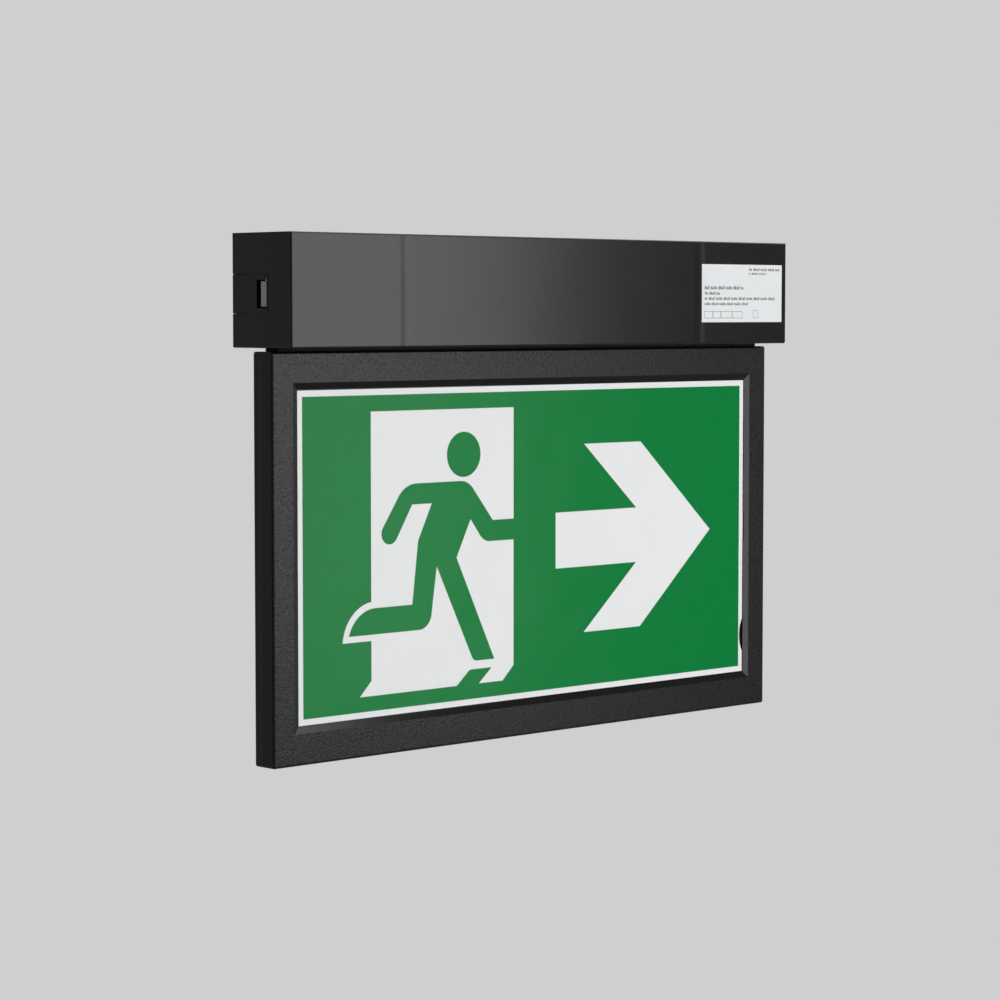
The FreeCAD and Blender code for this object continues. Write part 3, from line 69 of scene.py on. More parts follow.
class Surface:
    """A Principled material and short ways to wire textures into it."""

    def __init__(self, name, color, roughness, **sockets):
        self.material = bpy.data.materials.new(name)
        self.material.use_nodes = True
        self.tree = self.material.node_tree
        self.shader = self.tree.nodes["Principled BSDF"]
        self.shader.inputs["Base Color"].default_value = (*color, 1)
        self.shader.inputs["Roughness"].default_value = roughness
        for socket, amount in sockets.items():
            self.shader.inputs[socket.replace("_", " ")].default_value = amount
        self.place = self.tree.nodes.new("ShaderNodeTexCoord").outputs["Object"]
        self.across, self.deep, self.up = self.node("SeparateXYZ", {0: self.place}).outputs
        self.heights = []

    def node(self, kind, inputs=(), **settings):
        """A shader node, with numbers set on its inputs and other nodes' outputs linked to them."""
        node = self.tree.nodes.new(f"ShaderNode{kind}")
        for setting, choice in settings.items():
            setattr(node, setting, choice)
        for socket, source in dict(inputs).items():
            if isinstance(source, bpy.types.NodeSocket):
                self.tree.links.new(source, node.inputs[socket])
            else:
                node.inputs[socket].default_value = source
        return node

    def math(self, operation, *values):
        return self.node("Math", enumerate(values), operation=operation).outputs[0]

    def stretched(self, scale):
        """Object coordinates in metres, scaled by a number or by three."""
        scale = scale if isinstance(scale, tuple) else (scale,) * 3
        return self.node("VectorMath", {0: self.place, 1: scale}, operation="MULTIPLY").outputs[0]

    def noise(self, size, detail=2.0, rough=0.5, warp=0.0):
        """Noise whose lumps are about size metres, or one size for each axis."""
        sizes = size if isinstance(size, tuple) else (size,) * 3
        place = self.stretched(tuple(1 / s for s in sizes))
        inputs = {"Vector": place, "Scale": 1.0, "Detail": detail, "Roughness": rough, "Distortion": warp}
        return self.node("TexNoise", inputs).outputs["Fac"]

    def cells(self, size, feature="F1"):
        """Distance to the middle of the nearest cell, in cells of about size metres."""
        inputs = {"Vector": self.stretched(1 / size), "Scale": 1.0}
        return self.node("TexVoronoi", inputs, feature=feature).outputs["Distance"]

    def ramp(self, factor, *stops):
        """Colours blended between stops, each a place from 0 to 1 and a colour."""
        node = self.node("ValToRGB", {"Fac": factor})
        points = node.color_ramp.elements
        while len(points) < len(stops):
            points.new(0.5)
        for point, (place, color) in zip(points, stops):
            point.position = place
            point.color = (*color, 1)
        return node.outputs["Color"]

    def range(self, factor, low, high, to_low=0.0, to_high=1.0, kind="LINEAR"):
        ends = {"From Min": low, "From Max": high, "To Min": to_low, "To Max": to_high}
        return self.node("MapRange", {"Value": factor, **ends}, interpolation_type=kind).outputs["Result"]

    def mix(self, factor, first, second):
        """The first colour where the factor is 0, the second where it is 1."""
        node = self.node("Mix", data_type="RGBA")
        for name, source in (("Factor", factor), ("A", first), ("B", second)):
            target = next(socket for socket in node.inputs if socket.name == name and socket.enabled)
            if isinstance(source, bpy.types.NodeSocket):
                self.tree.links.new(source, target)
            else:
                target.default_value = (*source, 1) if isinstance(source, tuple) else source
        return next(socket for socket in node.outputs if socket.enabled)

    def within(self, value, middle, half, soft=0.02 * MM):
        """1 where a value is within half of the middle, 0 outside."""
        away = self.math("ABSOLUTE", self.math("SUBTRACT", value, middle))
        return self.range(away, half - soft, half + soft, 1.0, 0.0)

    def color(self, source):
        self.tree.links.new(source, self.shader.inputs["Base Color"])

    def rough(self, factor, low, high):
        """Roughness from low to high as the factor goes from 0 to 1."""
        self.tree.links.new(self.range(factor, 0.0, 1.0, low, high), self.shader.inputs["Roughness"])

    def metallic(self, source):
        self.tree.links.new(source, self.shader.inputs["Metallic"])

    def bump(self, height, distance):
        """Raises the surface by distance metres where height is 1."""
        inputs = {"Height": height, "Distance": distance, "Strength": 1.0}
        if self.heights:
            inputs["Normal"] = self.heights[-1]
        self.heights.append(self.node("Bump", inputs).outputs["Normal"])
        self.tree.links.new(self.heights[-1], self.shader.inputs["Normal"])


def new_piece(mesh, surface):
    """An object named after its mesh, with one surface."""
    piece = bpy.data.objects.new(mesh.name, mesh)
    bpy.context.scene.collection.objects.link(piece)
    mesh.materials.append(surface.material)
    return piece


def dress(surface, *names):
    """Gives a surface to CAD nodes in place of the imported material."""
    for name in names:
        slots = NODES[name].material_slots
        if not slots:
            NODES[name].data.materials.append(surface.material)
        for slot in slots:
            slot.material = surface.material


# ---------------------------------------------------------------- mouldings

BLACK = (0.0024, 0.0024, 0.0026)
SINKS = (-99.5 * MM, 101.8 * MM)
SINK_HALF, SINK_DEPTH = 4.6 * MM, 0.085 * MM
BEVEL_REACH = 6.45 * MM
SEAM_HALF, SEAM_SOFT, SEAM_DEPTH = 0.2 * MM, 0.15 * MM, 0.4 * MM


def housing_plastic(name):
    """Smooth satin moulding with a faint orange peel."""
    surface = Surface(name, BLACK, 0.17, Specular_IOR_Level=0.15)
    surface.rough(surface.noise(28 * MM, 3.0), 0.15, 0.19)
    surface.bump(surface.noise(1.4 * MM, 2.0), 0.004 * MM)
    return surface


def cover_plastic():
    """The housing's moulding with soft sink marks over the inner ribs."""
    surface = housing_plastic("housing_cover_satin")
    for sink in SINKS:
        away = surface.math("ABSOLUTE", surface.math("SUBTRACT", surface.across, sink))
        surface.bump(surface.range(away, 0.0, SINK_HALF, 1.0, 0.0, "SMOOTHSTEP"), -SINK_DEPTH)
    return surface


def frame_plastic():
    """Leather-grained moulding with a seam, its bevels round the window left smooth."""
    surface = Surface("frame_grain", (0.0028, 0.0028, 0.003), 0.19, Specular_IOR_Level=0.12)
    low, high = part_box("front_legend")
    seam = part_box("front_bezel")[1].y
    beside = surface.math("SUBTRACT", surface.math("ABSOLUTE", surface.across), high.x + BEVEL_REACH)
    upright = surface.math("ABSOLUTE", surface.math("SUBTRACT", surface.up, (low.z + high.z) / 2))
    above = surface.math("SUBTRACT", upright, (high.z - low.z) / 2 + BEVEL_REACH)
    face = surface.range(surface.math("MAXIMUM", beside, above), -0.1 * MM, 0.1 * MM)
    cells = surface.math("ADD", surface.cells(0.9 * MM, "SMOOTH_F1"), surface.noise(0.7 * MM, 3.0, 0.6, 0.4))
    surface.bump(surface.math("MULTIPLY", cells, face), 0.05 * MM)
    surface.bump(surface.noise(0.22 * MM, 2.0), 0.006 * MM)
    surface.bump(surface.within(surface.deep, seam, SEAM_HALF, SEAM_SOFT), -SEAM_DEPTH)
    uneven = surface.range(cells, 0.5, 1.15, 0.2, 1.0)
    surface.rough(surface.math("MULTIPLY", uneven, face), 0.1, 0.3)
    return surface


def plain_plastic(name, color, roughness):
    """A small moulding: fine grain, slight unevenness of colour."""
    surface = Surface(name, color, roughness)
    darker = tuple(c * 0.94 for c in color)
    surface.color(surface.mix(surface.noise(4 * MM, 3.0), darker, color))
    surface.bump(surface.noise(0.5 * MM, 2.0), 0.006 * MM)
    surface.rough(surface.noise(3 * MM, 2.0), roughness - 0.05, roughness + 0.05)
    return surface


def rubber():
    """Soft matt rubber with a coarse skin."""
    surface = Surface("grommet_rubber", (0.014, 0.014, 0.014), 0.75, Specular_IOR_Level=0.35)
    surface.bump(surface.noise(0.4 * MM, 4.0, 0.7), 0.03 * MM)
    return surface


# ---------------------------------------------------------------- metals

def zinc(name, color=(0.60, 0.61, 0.62), roughness=0.32):
    """Plated steel: dull patches and faint lines along its length."""
    surface = Surface(name, color, roughness, Metallic=1.0)
    patches = surface.noise(3 * MM, 4.0, 0.65)
    surface.color(surface.mix(patches, tuple(c * 0.82 for c in color), color))
    surface.rough(patches, roughness - 0.08, roughness + 0.1)
    surface.bump(surface.noise((6 * MM, 0.25 * MM, 0.25 * MM), 2.0), 0.004 * MM)
    return surface


def extruded():
    """Mill-finish aluminium with its drawing lines along the rail."""
    surface = Surface("rail_aluminium", (0.72, 0.73, 0.74), 0.34, Metallic=1.0)
    lines = surface.noise((60 * MM, 0.35 * MM, 0.35 * MM), 4.0, 0.7)
    surface.rough(lines, 0.26, 0.44)
    surface.bump(lines, 0.006 * MM)
    return surface


# ---------------------------------------------------------------- sign

EAR_REACH = 2.1 * MM
# The straight heel of the runner's shadow: where it starts, from the legend's upper left, how steeply it
# rises to the right, and its patch across and down from there, each as a middle and a half.
HEEL_X, HEEL_Z, HEEL_SLOPE = 96 * MM, 143 * MM, 0.85
HEEL_ACROSS, HEEL_DOWN = (4.3 * MM, 4.8 * MM), (-4.1 * MM, 3.85 * MM)
WAVES = (40 * MM, 40 * MM, 26 * MM)


def film_sheet():
    """White legend film, slightly wavy, with painted shade on the ear at its edge."""
    surface = Surface("film_white", (0.79, 0.80, 0.80), 0.38, Specular_IOR_Level=0.2)
    white = surface.mix(surface.noise(18 * MM, 3.0), (0.765, 0.775, 0.775), (0.80, 0.81, 0.81))
    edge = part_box("front_film")[1].x - EAR_REACH
    # The ear beyond the film's main edge is coloured dark green-grey as painted shade, not as a colour of the
    # film.
    painted_ear_shade = surface.range(surface.math("ABSOLUTE", surface.across), edge + 0.05 * MM, edge + 0.15 * MM)
    surface.color(surface.mix(painted_ear_shade, white, (0.03, 0.045, 0.04)))
    surface.rough(surface.noise(12 * MM, 2.0), 0.34, 0.42)
    surface.bump(surface.noise(0.35 * MM, 2.0), 0.003 * MM)
    surface.bump(surface.noise(WAVES, 1.0), 0.35 * MM)
    return surface


def heel_bare(surface):
    """1 beside the straight heel of the runner's shadow, where the print leaves the film bare."""
    low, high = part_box("front_legend")
    right = surface.math("SUBTRACT", surface.across, low.x + HEEL_X)
    down = surface.math("SUBTRACT", high.z - HEEL_Z, surface.up)
    heel = surface.math("SUBTRACT", surface.math("MULTIPLY", right, -HEEL_SLOPE), down)
    inside = surface.range(heel, -0.05 * MM, 0.05 * MM)
    for value, reach in ((right, HEEL_ACROSS), (down, HEEL_DOWN)):
        inside = surface.math("MULTIPLY", inside, surface.within(value, *reach))
    return inside


def ink():
    """The printed green field, with the faint mottle of a screen print."""
    surface = Surface("print_green", (0.0005, 0.19, 0.038), 0.19, Specular_IOR_Level=0.05)
    mottle = surface.noise(1.1 * MM, 4.0, 0.7)
    green = surface.mix(mottle, (0.0, 0.178, 0.035), (0.001, 0.205, 0.044))
    surface.color(surface.mix(heel_bare(surface), green, (0.785, 0.795, 0.795)))
    surface.rough(surface.noise(7 * MM, 3.0), 0.16, 0.22)
    surface.bump(mottle, 0.006 * MM)
    surface.bump(surface.noise(WAVES, 1.0), 0.35 * MM)
    return surface


def opal():
    """Milky sheet that spreads the light."""
    surface = Surface("opal_sheet", (0.80, 0.81, 0.81), 0.42, Subsurface_Weight=0.25)
    surface.shader.inputs["Subsurface Radius"].default_value = (1.0, 1.0, 1.0)
    surface.shader.inputs["Subsurface Scale"].default_value = 1 * MM
    surface.color(surface.mix(surface.noise(30 * MM, 2.0), (0.77, 0.78, 0.78), (0.82, 0.83, 0.83)))
    surface.bump(surface.noise(0.6 * MM, 2.0), 0.004 * MM)
    return surface


def acrylic():
    """Clear plate with the fine extraction dots that feed both legends."""
    surface = Surface("guide_acrylic", (0.96, 0.985, 0.975), 0.04, Transmission_Weight=1.0, IOR=1.49)
    dots = surface.cells(2.2 * MM)
    white = surface.range(dots, 0.22, 0.26, 1.0, 0.0)
    surface.rough(white, 0.04, 0.45)
    surface.bump(surface.noise(9 * MM, 2.0), 0.004 * MM)
    return surface


def label_film():
    """Semi-matt white label stock."""
    surface = Surface("label_white", (0.72, 0.74, 0.75), 0.36, Specular_IOR_Level=0.25)
    surface.color(surface.mix(surface.noise(9 * MM, 3.0), (0.70, 0.72, 0.73), (0.74, 0.76, 0.77)))
    surface.bump(surface.noise(0.5 * MM, 3.0), 0.004 * MM)
    return surface


def label_ink():
    """Dark print, unevenly laid on."""
    surface = Surface("label_ink", (0.035, 0.035, 0.04), 0.45)
    surface.color(surface.mix(surface.noise(0.5 * MM, 3.0), (0.02, 0.02, 0.024), (0.07, 0.07, 0.075)))
    surface.bump(surface.noise(0.3 * MM, 2.0), 0.002 * MM)
    return surface


# ---------------------------------------------------------------- gear

def solder_mask(name, mask, trace, pitch):
    """A coated board: copper lines under the lacquer and small bright pads."""
    surface = Surface(name, mask, 0.32, Coat_Weight=0.3, Coat_Roughness=0.15)
    crooked = surface.noise(11 * MM, 1.0)
    runs = []
    for along, shift, spacing in ((surface.up, 6 * MM, pitch), (surface.across, 7 * MM, pitch * 1.4)):
        away = surface.math("PINGPONG", surface.math("MULTIPLY_ADD", crooked, shift, along), spacing)
        runs.append(surface.range(away, 0.3 * MM, 0.36 * MM, 1.0, 0.0))
    patches = surface.range(surface.noise(9 * MM, 0.0), 0.5, 0.52)
    lines = surface.math("MULTIPLY", surface.math("MAXIMUM", *runs), patches)
    pads = surface.range(surface.cells(3.2 * MM), 0.12, 0.14, 1.0, 0.0)
    pads = surface.math("MULTIPLY", pads, surface.range(surface.noise(14 * MM, 0.0), 0.46, 0.48))
    traced = surface.mix(lines, mask, trace)
    surface.color(surface.mix(pads, traced, (0.62, 0.63, 0.62)))
    surface.metallic(pads)
    surface.bump(surface.math("MAXIMUM", lines, pads), 0.035 * MM)
    return surface


def laminated():
    """Yellow tape round the winding, and a dark core of stacked sheets."""
    low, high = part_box("driver_transformer")
    core_half, sheet = 9.05 * MM, 0.35 * MM
    surface = Surface("transformer_core", (0.05, 0.052, 0.055), 0.5)
    core = surface.within(surface.up, (low.z + high.z) / 2, core_half)
    stripes = surface.range(surface.math("PINGPONG", surface.deep, sheet), 0.0, sheet)
    steel = surface.mix(stripes, (0.035, 0.036, 0.04), (0.085, 0.088, 0.095))
    tape = surface.mix(surface.noise(3 * MM, 2.0), (0.62, 0.44, 0.03), (0.72, 0.53, 0.05))
    surface.color(surface.mix(core, tape, steel))
    surface.bump(surface.math("MULTIPLY", stripes, core), 0.05 * MM)
    surface.bump(surface.noise((40 * MM, 3 * MM, 40 * MM), 2.0), 0.06 * MM)
    return surface


def sleeved_can():
    """A dark printed sleeve with a pale stripe, and a bare scored end."""
    low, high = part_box("driver_capacitors")
    bare_end, stripe_width, score_half, soft = 0.35 * MM, 1.5 * MM, 0.25 * MM, 0.1 * MM
    surface = Surface("can_sleeve", (0.02, 0.022, 0.05), 0.35)
    end = surface.range(surface.deep, low.y + bare_end, low.y + bare_end + soft, 1.0, 0.0)
    stripe = surface.range(surface.up, high.z - stripe_width, high.z - stripe_width + soft / 2)
    sleeve = surface.mix(stripe, (0.02, 0.022, 0.05), (0.55, 0.56, 0.58))
    surface.color(surface.mix(end, sleeve, (0.70, 0.71, 0.72)))
    surface.metallic(end)
    surface.bump(surface.within(surface.up, (low.z + high.z) / 2, score_half, soft), -0.08 * MM)
    surface.bump(surface.noise(2 * MM, 2.0), 0.01 * MM)
    return surface


TURNS = 34


def wound():
    """Enamelled copper turns lying side by side round the ring, painted darker towards the gaps between turns
    as shade.
    """
    low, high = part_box("driver_choke")
    middle = (low + high) / 2
    surface = Surface("choke_winding", (0.42, 0.12, 0.035), 0.3, Metallic=0.6, Coat_Weight=0.6)
    above = surface.math("SUBTRACT", surface.up, middle.z)
    angle = surface.math("ARCTAN2", above, surface.math("SUBTRACT", surface.across, middle.x))
    turns = surface.math("ABSOLUTE", surface.math("SINE", surface.math("MULTIPLY", angle, TURNS / 2)))
    # Colour across each turn: painted shade, darkest in the gaps between turns and lighter towards each
    # turn's crown.
    copper = ((0.0, (0.10, 0.025, 0.01)), (0.45, (0.46, 0.14, 0.04)), (1.0, (0.58, 0.2, 0.06)))
    surface.color(surface.ramp(turns, *copper))
    surface.bump(surface.math("POWER", turns, 0.5), 0.35 * MM)
    return surface


def capped_tube():
    """A glass tube between two plated caps."""
    low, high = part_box("driver_fuse")
    glass_half = (high.x - low.x) * 0.23
    surface = Surface("fuse_caps", (0.66, 0.66, 0.65), 0.25)
    tube = surface.within(surface.across, (low.x + high.x) / 2, glass_half)
    surface.color(surface.mix(tube, (0.66, 0.66, 0.65), (0.72, 0.76, 0.74)))
    surface.metallic(surface.math("SUBTRACT", 1.0, tube))
    surface.rough(surface.noise(1.5 * MM, 3.0), 0.18, 0.34)
    return surface


LAMP_LENGTH, LAMP_COUNT = 3.5 * MM, 14
WINDOW_X, WINDOW_Y = 1.25 * MM, 0.98 * MM


def light_sources():
    """White packages with a yellow window in the middle of each."""
    low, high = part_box("lamps")
    pitch = (high.x - low.x - LAMP_LENGTH) / (LAMP_COUNT - 1)
    surface = Surface("lamp_package", (0.82, 0.82, 0.80), 0.4)
    start = surface.math("SUBTRACT", surface.across, low.x + LAMP_LENGTH / 2)
    near = surface.math("PINGPONG", start, pitch / 2)
    shares = [surface.math("POWER", surface.math("MULTIPLY", away, 1 / half), 4.0)
              for away, half in ((near, WINDOW_X), (surface.math("ABSOLUTE", surface.deep), WINDOW_Y))]
    window = surface.range(surface.math("ADD", *shares), 0.9, 1.1, 1.0, 0.0)
    surface.color(surface.mix(window, (0.82, 0.82, 0.80), (0.80, 0.58, 0.08)))
    surface.bump(window, -0.08 * MM)
    return surface


def marked_chip():
    """Matt black epoxy with a round dimple at one corner."""
    low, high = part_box("address_chip")
    inset, dimple = 1.6 * MM, 0.45 * MM
    surface = Surface("chip_epoxy", (0.016, 0.016, 0.017), 0.55)
    right = surface.math("SUBTRACT", surface.across, low.x + inset)
    above = surface.math("SUBTRACT", surface.up, high.z - inset)
    corner = surface.node("CombineXYZ", {0: right, 1: 0.0, 2: above}).outputs[0]
    away = surface.node("VectorMath", {0: corner}, operation="LENGTH").outputs["Value"]
    dot = surface.range(away, dimple - 0.03 * MM, dimple + 0.03 * MM, 1.0, 0.0)
    surface.bump(dot, -0.12 * MM)
    surface.bump(surface.noise(0.25 * MM, 3.0), 0.01 * MM)
    surface.color(surface.mix(surface.noise(1.2 * MM, 2.0), (0.013, 0.013, 0.014), (0.02, 0.02, 0.021)))
    return surface


# ---------------------------------------------------------------- surfaces on the CAD nodes

dress(cover_plastic(), "housing_cover")
dress(housing_plastic("housing_base_satin"), "housing_base")
dress(frame_plastic(), "front_bezel", "rear_bezel")
dress(plain_plastic("catch_grey", (0.6, 0.602, 0.606), 0.42), "release_catch_left", "release_catch_right")
dress(label_film(), "rating_label")
dress(rubber(), "cable_grommet")
dress(plain_plastic("clamp_nylon", (0.66, 0.66, 0.63), 0.45), "cable_clamp")
dress(zinc("screw_zinc", (0.66, 0.67, 0.68), 0.28),
      "board_screws", "clamp_screws", "hanger_screws", "terminal_screws")
dress(solder_mask("driver_board_mask", (0.012, 0.085, 0.03), (0.035, 0.17, 0.06), 2.6 * MM), "driver_board")
dress(solder_mask("address_board_mask", (0.012, 0.085, 0.03), (0.035, 0.17, 0.06), 1.9 * MM), "address_board")
dress(laminated(), "driver_transformer")
dress(sleeved_can(), "driver_capacitors")
dress(wound(), "driver_choke")
dress(capped_tube(), "driver_fuse")
dress(plain_plastic("connector_nylon", (0.62, 0.63, 0.60), 0.4), "board_connectors", "terminal_block")
dress(plain_plastic("dial_base_blue", (0.012, 0.03, 0.13), 0.4), "dial_sockets")
dress(plain_plastic("dial_white", (0.72, 0.71, 0.67), 0.4), "address_dial_tens", "address_dial_units")
dress(marked_chip(), "address_chip")
dress(extruded(), "light_rail")
dress(solder_mask("lamp_board_mask", (0.74, 0.75, 0.74), (0.80, 0.81, 0.80), 3.1 * MM), "lamp_board")
dress(light_sources(), "lamps")
dress(acrylic(), "light_guide")
dress(zinc("strap_zinc"), "hanger_left", "hanger_right")
dress(opal(), "front_diffuser", "rear_diffuser")
dress(film_sheet(), "front_film", "rear_film")
dress(ink(), "front_legend", "rear_legend")


# ---------------------------------------------------------------- label print
# Rules of strokes and empty boxes in place of the printing, as shares of the label from its upper left.

RULES = (
    (0.583, 0.058, 0.972, 0.106), (0.583, 0.135, 0.810, 0.173),
    (0.035, 0.371, 0.515, 0.433), (0.035, 0.471, 0.223, 0.525),
    (0.035, 0.563, 0.920, 0.615), (0.035, 0.658, 0.585, 0.706),
)
BOXES = ((0.031, 0.810, 0.136, 0.930), (0.136, 0.810, 0.235, 0.930), (0.235, 0.810, 0.375, 0.930),
         (0.375, 0.810, 0.501, 0.930), (0.635, 0.794, 0.698, 0.929))
# Strokes: the narrowest, the steps in width, and the steps in height as a share of the rule's.
STROKE, STROKE_STEP, STROKE_CUT = 0.4 * MM, 0.15 * MM, 0.12
LETTER_GAP, WORD_GAP = 0.3 * MM, 1.0 * MM
BOX_LINE, PRINT_PROUD = 0.2 * MM, 0.015 * MM


def label_print():
    """Marks just proud of the label: meaningless strokes along each rule, and empty boxes."""
    low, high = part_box("rating_label")
    size = high - low
    quads = []
    step = 0
    for left, top, right, bottom in RULES:
        x, end = left * size.x, right * size.x
        while x < end:
            wide = STROKE + step * 7 % 3 * STROKE_STEP
            cut = (top + (bottom - top) * (step * 5 % 4) * STROKE_CUT) * size.z
            quads.append((x, cut, min(x + wide, end), bottom * size.z))
            x += wide + (WORD_GAP if step * 11 % 6 == 4 else LETTER_GAP)
            step += 1
    for left, top, right, bottom in BOXES:
        x0, x1, z0, z1 = left * size.x, right * size.x, top * size.z, bottom * size.z
        quads += [(x0, z0, x1, z0 + BOX_LINE), (x0, z1 - BOX_LINE, x1, z1),
                  (x0, z0, x0 + BOX_LINE, z1), (x1 - BOX_LINE, z0, x1, z1)]
    front = low.y - PRINT_PROUD
    points, faces = [], []
    for x0, z0, x1, z1 in quads:
        first = len(points)
        points += [(low.x + x, front, high.z - z) for x, z in ((x0, z0), (x0, z1), (x1, z1), (x1, z0))]
        faces.append(tuple(range(first, first + 4)))
    mesh = bpy.data.meshes.new("label_print")
    mesh.from_pydata(points, [], faces)
    marks = new_piece(mesh, label_ink())
    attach(marks, "cover")


label_print()


# ---------------------------------------------------------------- seals, and threads of painted shade in the slots

RING_WIDTH, RING_ROUND = 1.5 * MM, 0.25 * MM
# Gaps from the ring to the hangers, the light guide and the housing.
RING_CLEARANCE = Vector((1.8, 0.35, 0.02)) * MM
# A thread's size, how far its middle lies in from the end and the rear, and the levels of the slots.
THREAD, THREAD_ROUND = Vector((1.4, 2.1, 0.26)) * MM, 0.04 * MM
THREAD_INSET = Vector((1.1, 1.25)) * MM
TONGUE_SLOTS = (-19.15 * MM, -37.25 * MM)


def foam():
    """Dull black foam with open pores, also used for the threads of painted shade in the tongue slots."""
    surface = Surface("seal_foam_and_slot_shade", (0.006, 0.006, 0.0065), 0.8, Specular_IOR_Level=0.2)
    surface.bump(surface.cells(0.5 * MM), 0.12 * MM)
    surface.color(surface.mix(surface.noise(2 * MM, 3.0), (0.004, 0.004, 0.0044), (0.009, 0.009, 0.0095)))
    return surface


def level_corners(shape, middle, half, level):
    """The corners of a level rectangle, in order round it."""
    return [shape.verts.new((middle.x + x * half.x, middle.y + y * half.y, level)) for x, y in CORNERS]


def band(shape, first, second):
    """Four faces from one loop of corners to the next."""
    for i in range(4):
        j = (i + 1) % 4
        shape.faces.new((first[i], first[j], second[j], second[i]))


def rounded(name, shape, offset):
    """The mesh of a shape once its edges are rounded."""
    bmesh.ops.bevel(shape, geom=shape.edges[:], offset=offset, segments=2, affect="EDGES")
    mesh = bpy.data.meshes.new(name)
    shape.to_mesh(mesh)
    shape.free()
    return mesh


def neck_seal(surface):
    """A foam ring between housing and sign, round the light guide's neck and both hangers."""
    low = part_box("front_bezel")[1].z
    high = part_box("housing_base")[0].z - RING_CLEARANCE.z
    inside = Vector((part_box("hanger_right")[1].x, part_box("light_guide")[1].y)) + RING_CLEARANCE.xy
    outside = inside + Vector((RING_WIDTH, RING_WIDTH))
    shape = bmesh.new()
    loops = [level_corners(shape, Vector((0, 0)), half, level)
             for half, level in ((outside, low), (outside, high), (inside, high), (inside, low))]
    for first, second in zip(loops, loops[1:] + loops[:1]):
        band(shape, first, second)
    ring = new_piece(rounded("neck_seal", shape, RING_ROUND), surface)
    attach(ring, "base")


def slot_shade_threads(surface):
    """Dark foam threads that close the rear ends of the slots above and below both tongues: painted shade, so
    the slots show dark.
    """
    # These threads stand in for the shadow inside the slots: dark pieces put there as painted shade.
    end, rear = Vector(CAD_BOX[1][:2]) - THREAD_INSET
    shape = bmesh.new()
    for side in (-1, 1):
        for level in TONGUE_SLOTS:
            middle = Vector((side * end, rear))
            ends = (level - THREAD.z / 2, level + THREAD.z / 2)
            low, high = [level_corners(shape, middle, THREAD.xy / 2, height) for height in ends]
            band(shape, low, high)
            shape.faces.new(low[::-1])
            shape.faces.new(high)
    threads = new_piece(rounded("slot_shade_threads", shape, THREAD_ROUND), surface)
    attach(threads, "base")


SEAL_FOAM_AND_SLOT_SHADE = foam()
neck_seal(SEAL_FOAM_AND_SLOT_SHADE)
slot_shade_threads(SEAL_FOAM_AND_SLOT_SHADE)


# ---------------------------------------------------------------- stage

PALE = (0.62, 0.625, 0.63)
AMBIENT = 0.12
FLOOR, FLOOR_REACH = -1.6, 14.0
NEAR_GLOW, FADE_START, FADE_END = 0.62, 0.6, 3.0
SIGN_MIDDLE = Vector((0.0, 0.0, -0.12))


def floor():
    """A pale plane that keeps the shadow and fades into the backdrop."""
    mesh = bpy.data.meshes.new("floor")
    mesh.from_pydata([(x * FLOOR_REACH, y * FLOOR_REACH, FLOOR) for x, y in CORNERS], [], [(0, 1, 2, 3)])
    surface = Surface("floor_pale", PALE, 0.9, Specular_IOR_Level=0.0)
    plane = new_piece(mesh, surface)
    glow = surface.node("Emission", {"Color": (*PALE, 1), "Strength": 1.0}).outputs[0]
    path = surface.node("LightPath")
    seen = surface.math("MAXIMUM", path.outputs["Is Camera Ray"], path.outputs["Is Glossy Ray"])
    seen = surface.math("MAXIMUM", seen, path.outputs["Is Transmission Ray"])
    far = surface.node("VectorMath", {0: surface.place}, operation="LENGTH").outputs["Value"]
    share = surface.range(far, FADE_START, FADE_END, NEAR_GLOW, 1.0)
    shaders = {0: surface.math("MULTIPLY", seen, share), 1: surface.shader.outputs[0], 2: glow}
    mix = surface.node("MixShader", shaders).outputs[0]
    surface.tree.links.new(mix, surface.tree.nodes["Material Output"].inputs["Surface"])


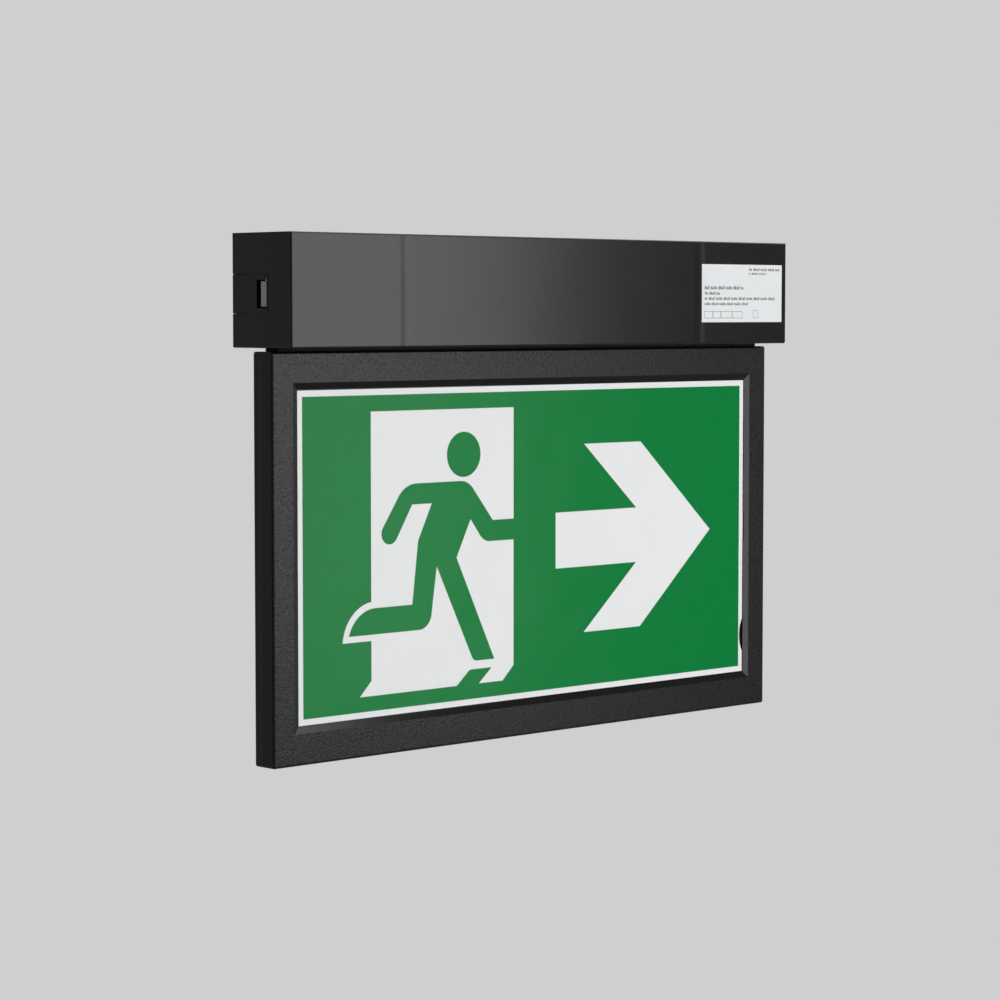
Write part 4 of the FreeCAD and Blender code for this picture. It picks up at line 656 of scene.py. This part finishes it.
def world():
    """Pale to the camera and in reflections, dimmer as light."""
    scene_world = bpy.data.worlds.new("studio")
    bpy.context.scene.world = scene_world
    scene_world.use_nodes = True
    tree = scene_world.node_tree
    tree.nodes.clear()
    path = tree.nodes.new("ShaderNodeLightPath")
    seen = path.outputs["Is Camera Ray"]
    for ray in ("Is Glossy Ray", "Is Transmission Ray"):
        either = tree.nodes.new("ShaderNodeMath")
        either.operation = "MAXIMUM"
        tree.links.new(seen, either.inputs[0])
        tree.links.new(path.outputs[ray], either.inputs[1])
        seen = either.outputs[0]
    mix = tree.nodes.new("ShaderNodeMixShader")
    tree.links.new(seen, mix.inputs["Fac"])
    for socket, color, strength in ((1, (1, 1, 1), AMBIENT), (2, PALE, 1.0)):
        light = tree.nodes.new("ShaderNodeBackground")
        light.inputs["Color"].default_value = (*color, 1)
        light.inputs["Strength"].default_value = strength
        tree.links.new(light.outputs[0], mix.inputs[socket])
    output = tree.nodes.new("ShaderNodeOutputWorld")
    tree.links.new(mix.outputs[0], output.inputs["Surface"])


def lamp(name, azimuth, elevation, distance, wide, high, radiance):
    """A soft area lamp, seen from the sign at an azimuth from -Y towards +X."""
    data = bpy.data.lights.new(name, "AREA")
    data.shape = "RECTANGLE"
    data.size, data.size_y = wide, high
    data.energy = radiance * math.pi * wide * high
    lamp_object = bpy.data.objects.new(name, data)
    bpy.context.scene.collection.objects.link(lamp_object)
    turn, rise = math.radians(azimuth), math.radians(elevation)
    away = Vector((math.sin(turn) * math.cos(rise), -math.cos(turn) * math.cos(rise), math.sin(rise)))
    lamp_object.location = SIGN_MIDDLE + away * distance
    lamp_object.rotation_euler = away.to_track_quat("Z", "Y").to_euler()


def camera():
    """A long lens off the sign's left front corner, looking slightly down."""
    data = bpy.data.cameras.new("camera")
    data.lens = 104.116
    data.sensor_width = 36.0
    view = bpy.data.objects.new("camera", data)
    bpy.context.scene.collection.objects.link(view)
    view.location = (-0.99665, -1.04210, -0.03662)
    view.rotation_euler = (math.radians(90 - 3.711), 0, math.radians(-43.158))
    bpy.context.scene.camera = view


floor()
world()
lamp("key", -1, 0, 2.6, 0.52, 1.1, 9.2)
lamp("fill", 16, 20, 2.7, 0.90, 2.4, 0.7)
lamp("strip", 35.5, 16, 2.6, 0.72, 2.7, 7.5)
lamp("side", 82, 44, 2.6, 0.80, 1.2, 5.0)
lamp("back", 168, 24, 2.8, 1.60, 2.0, 5.0)
camera()
bpy.context.scene.view_settings.view_transform = "Standard"
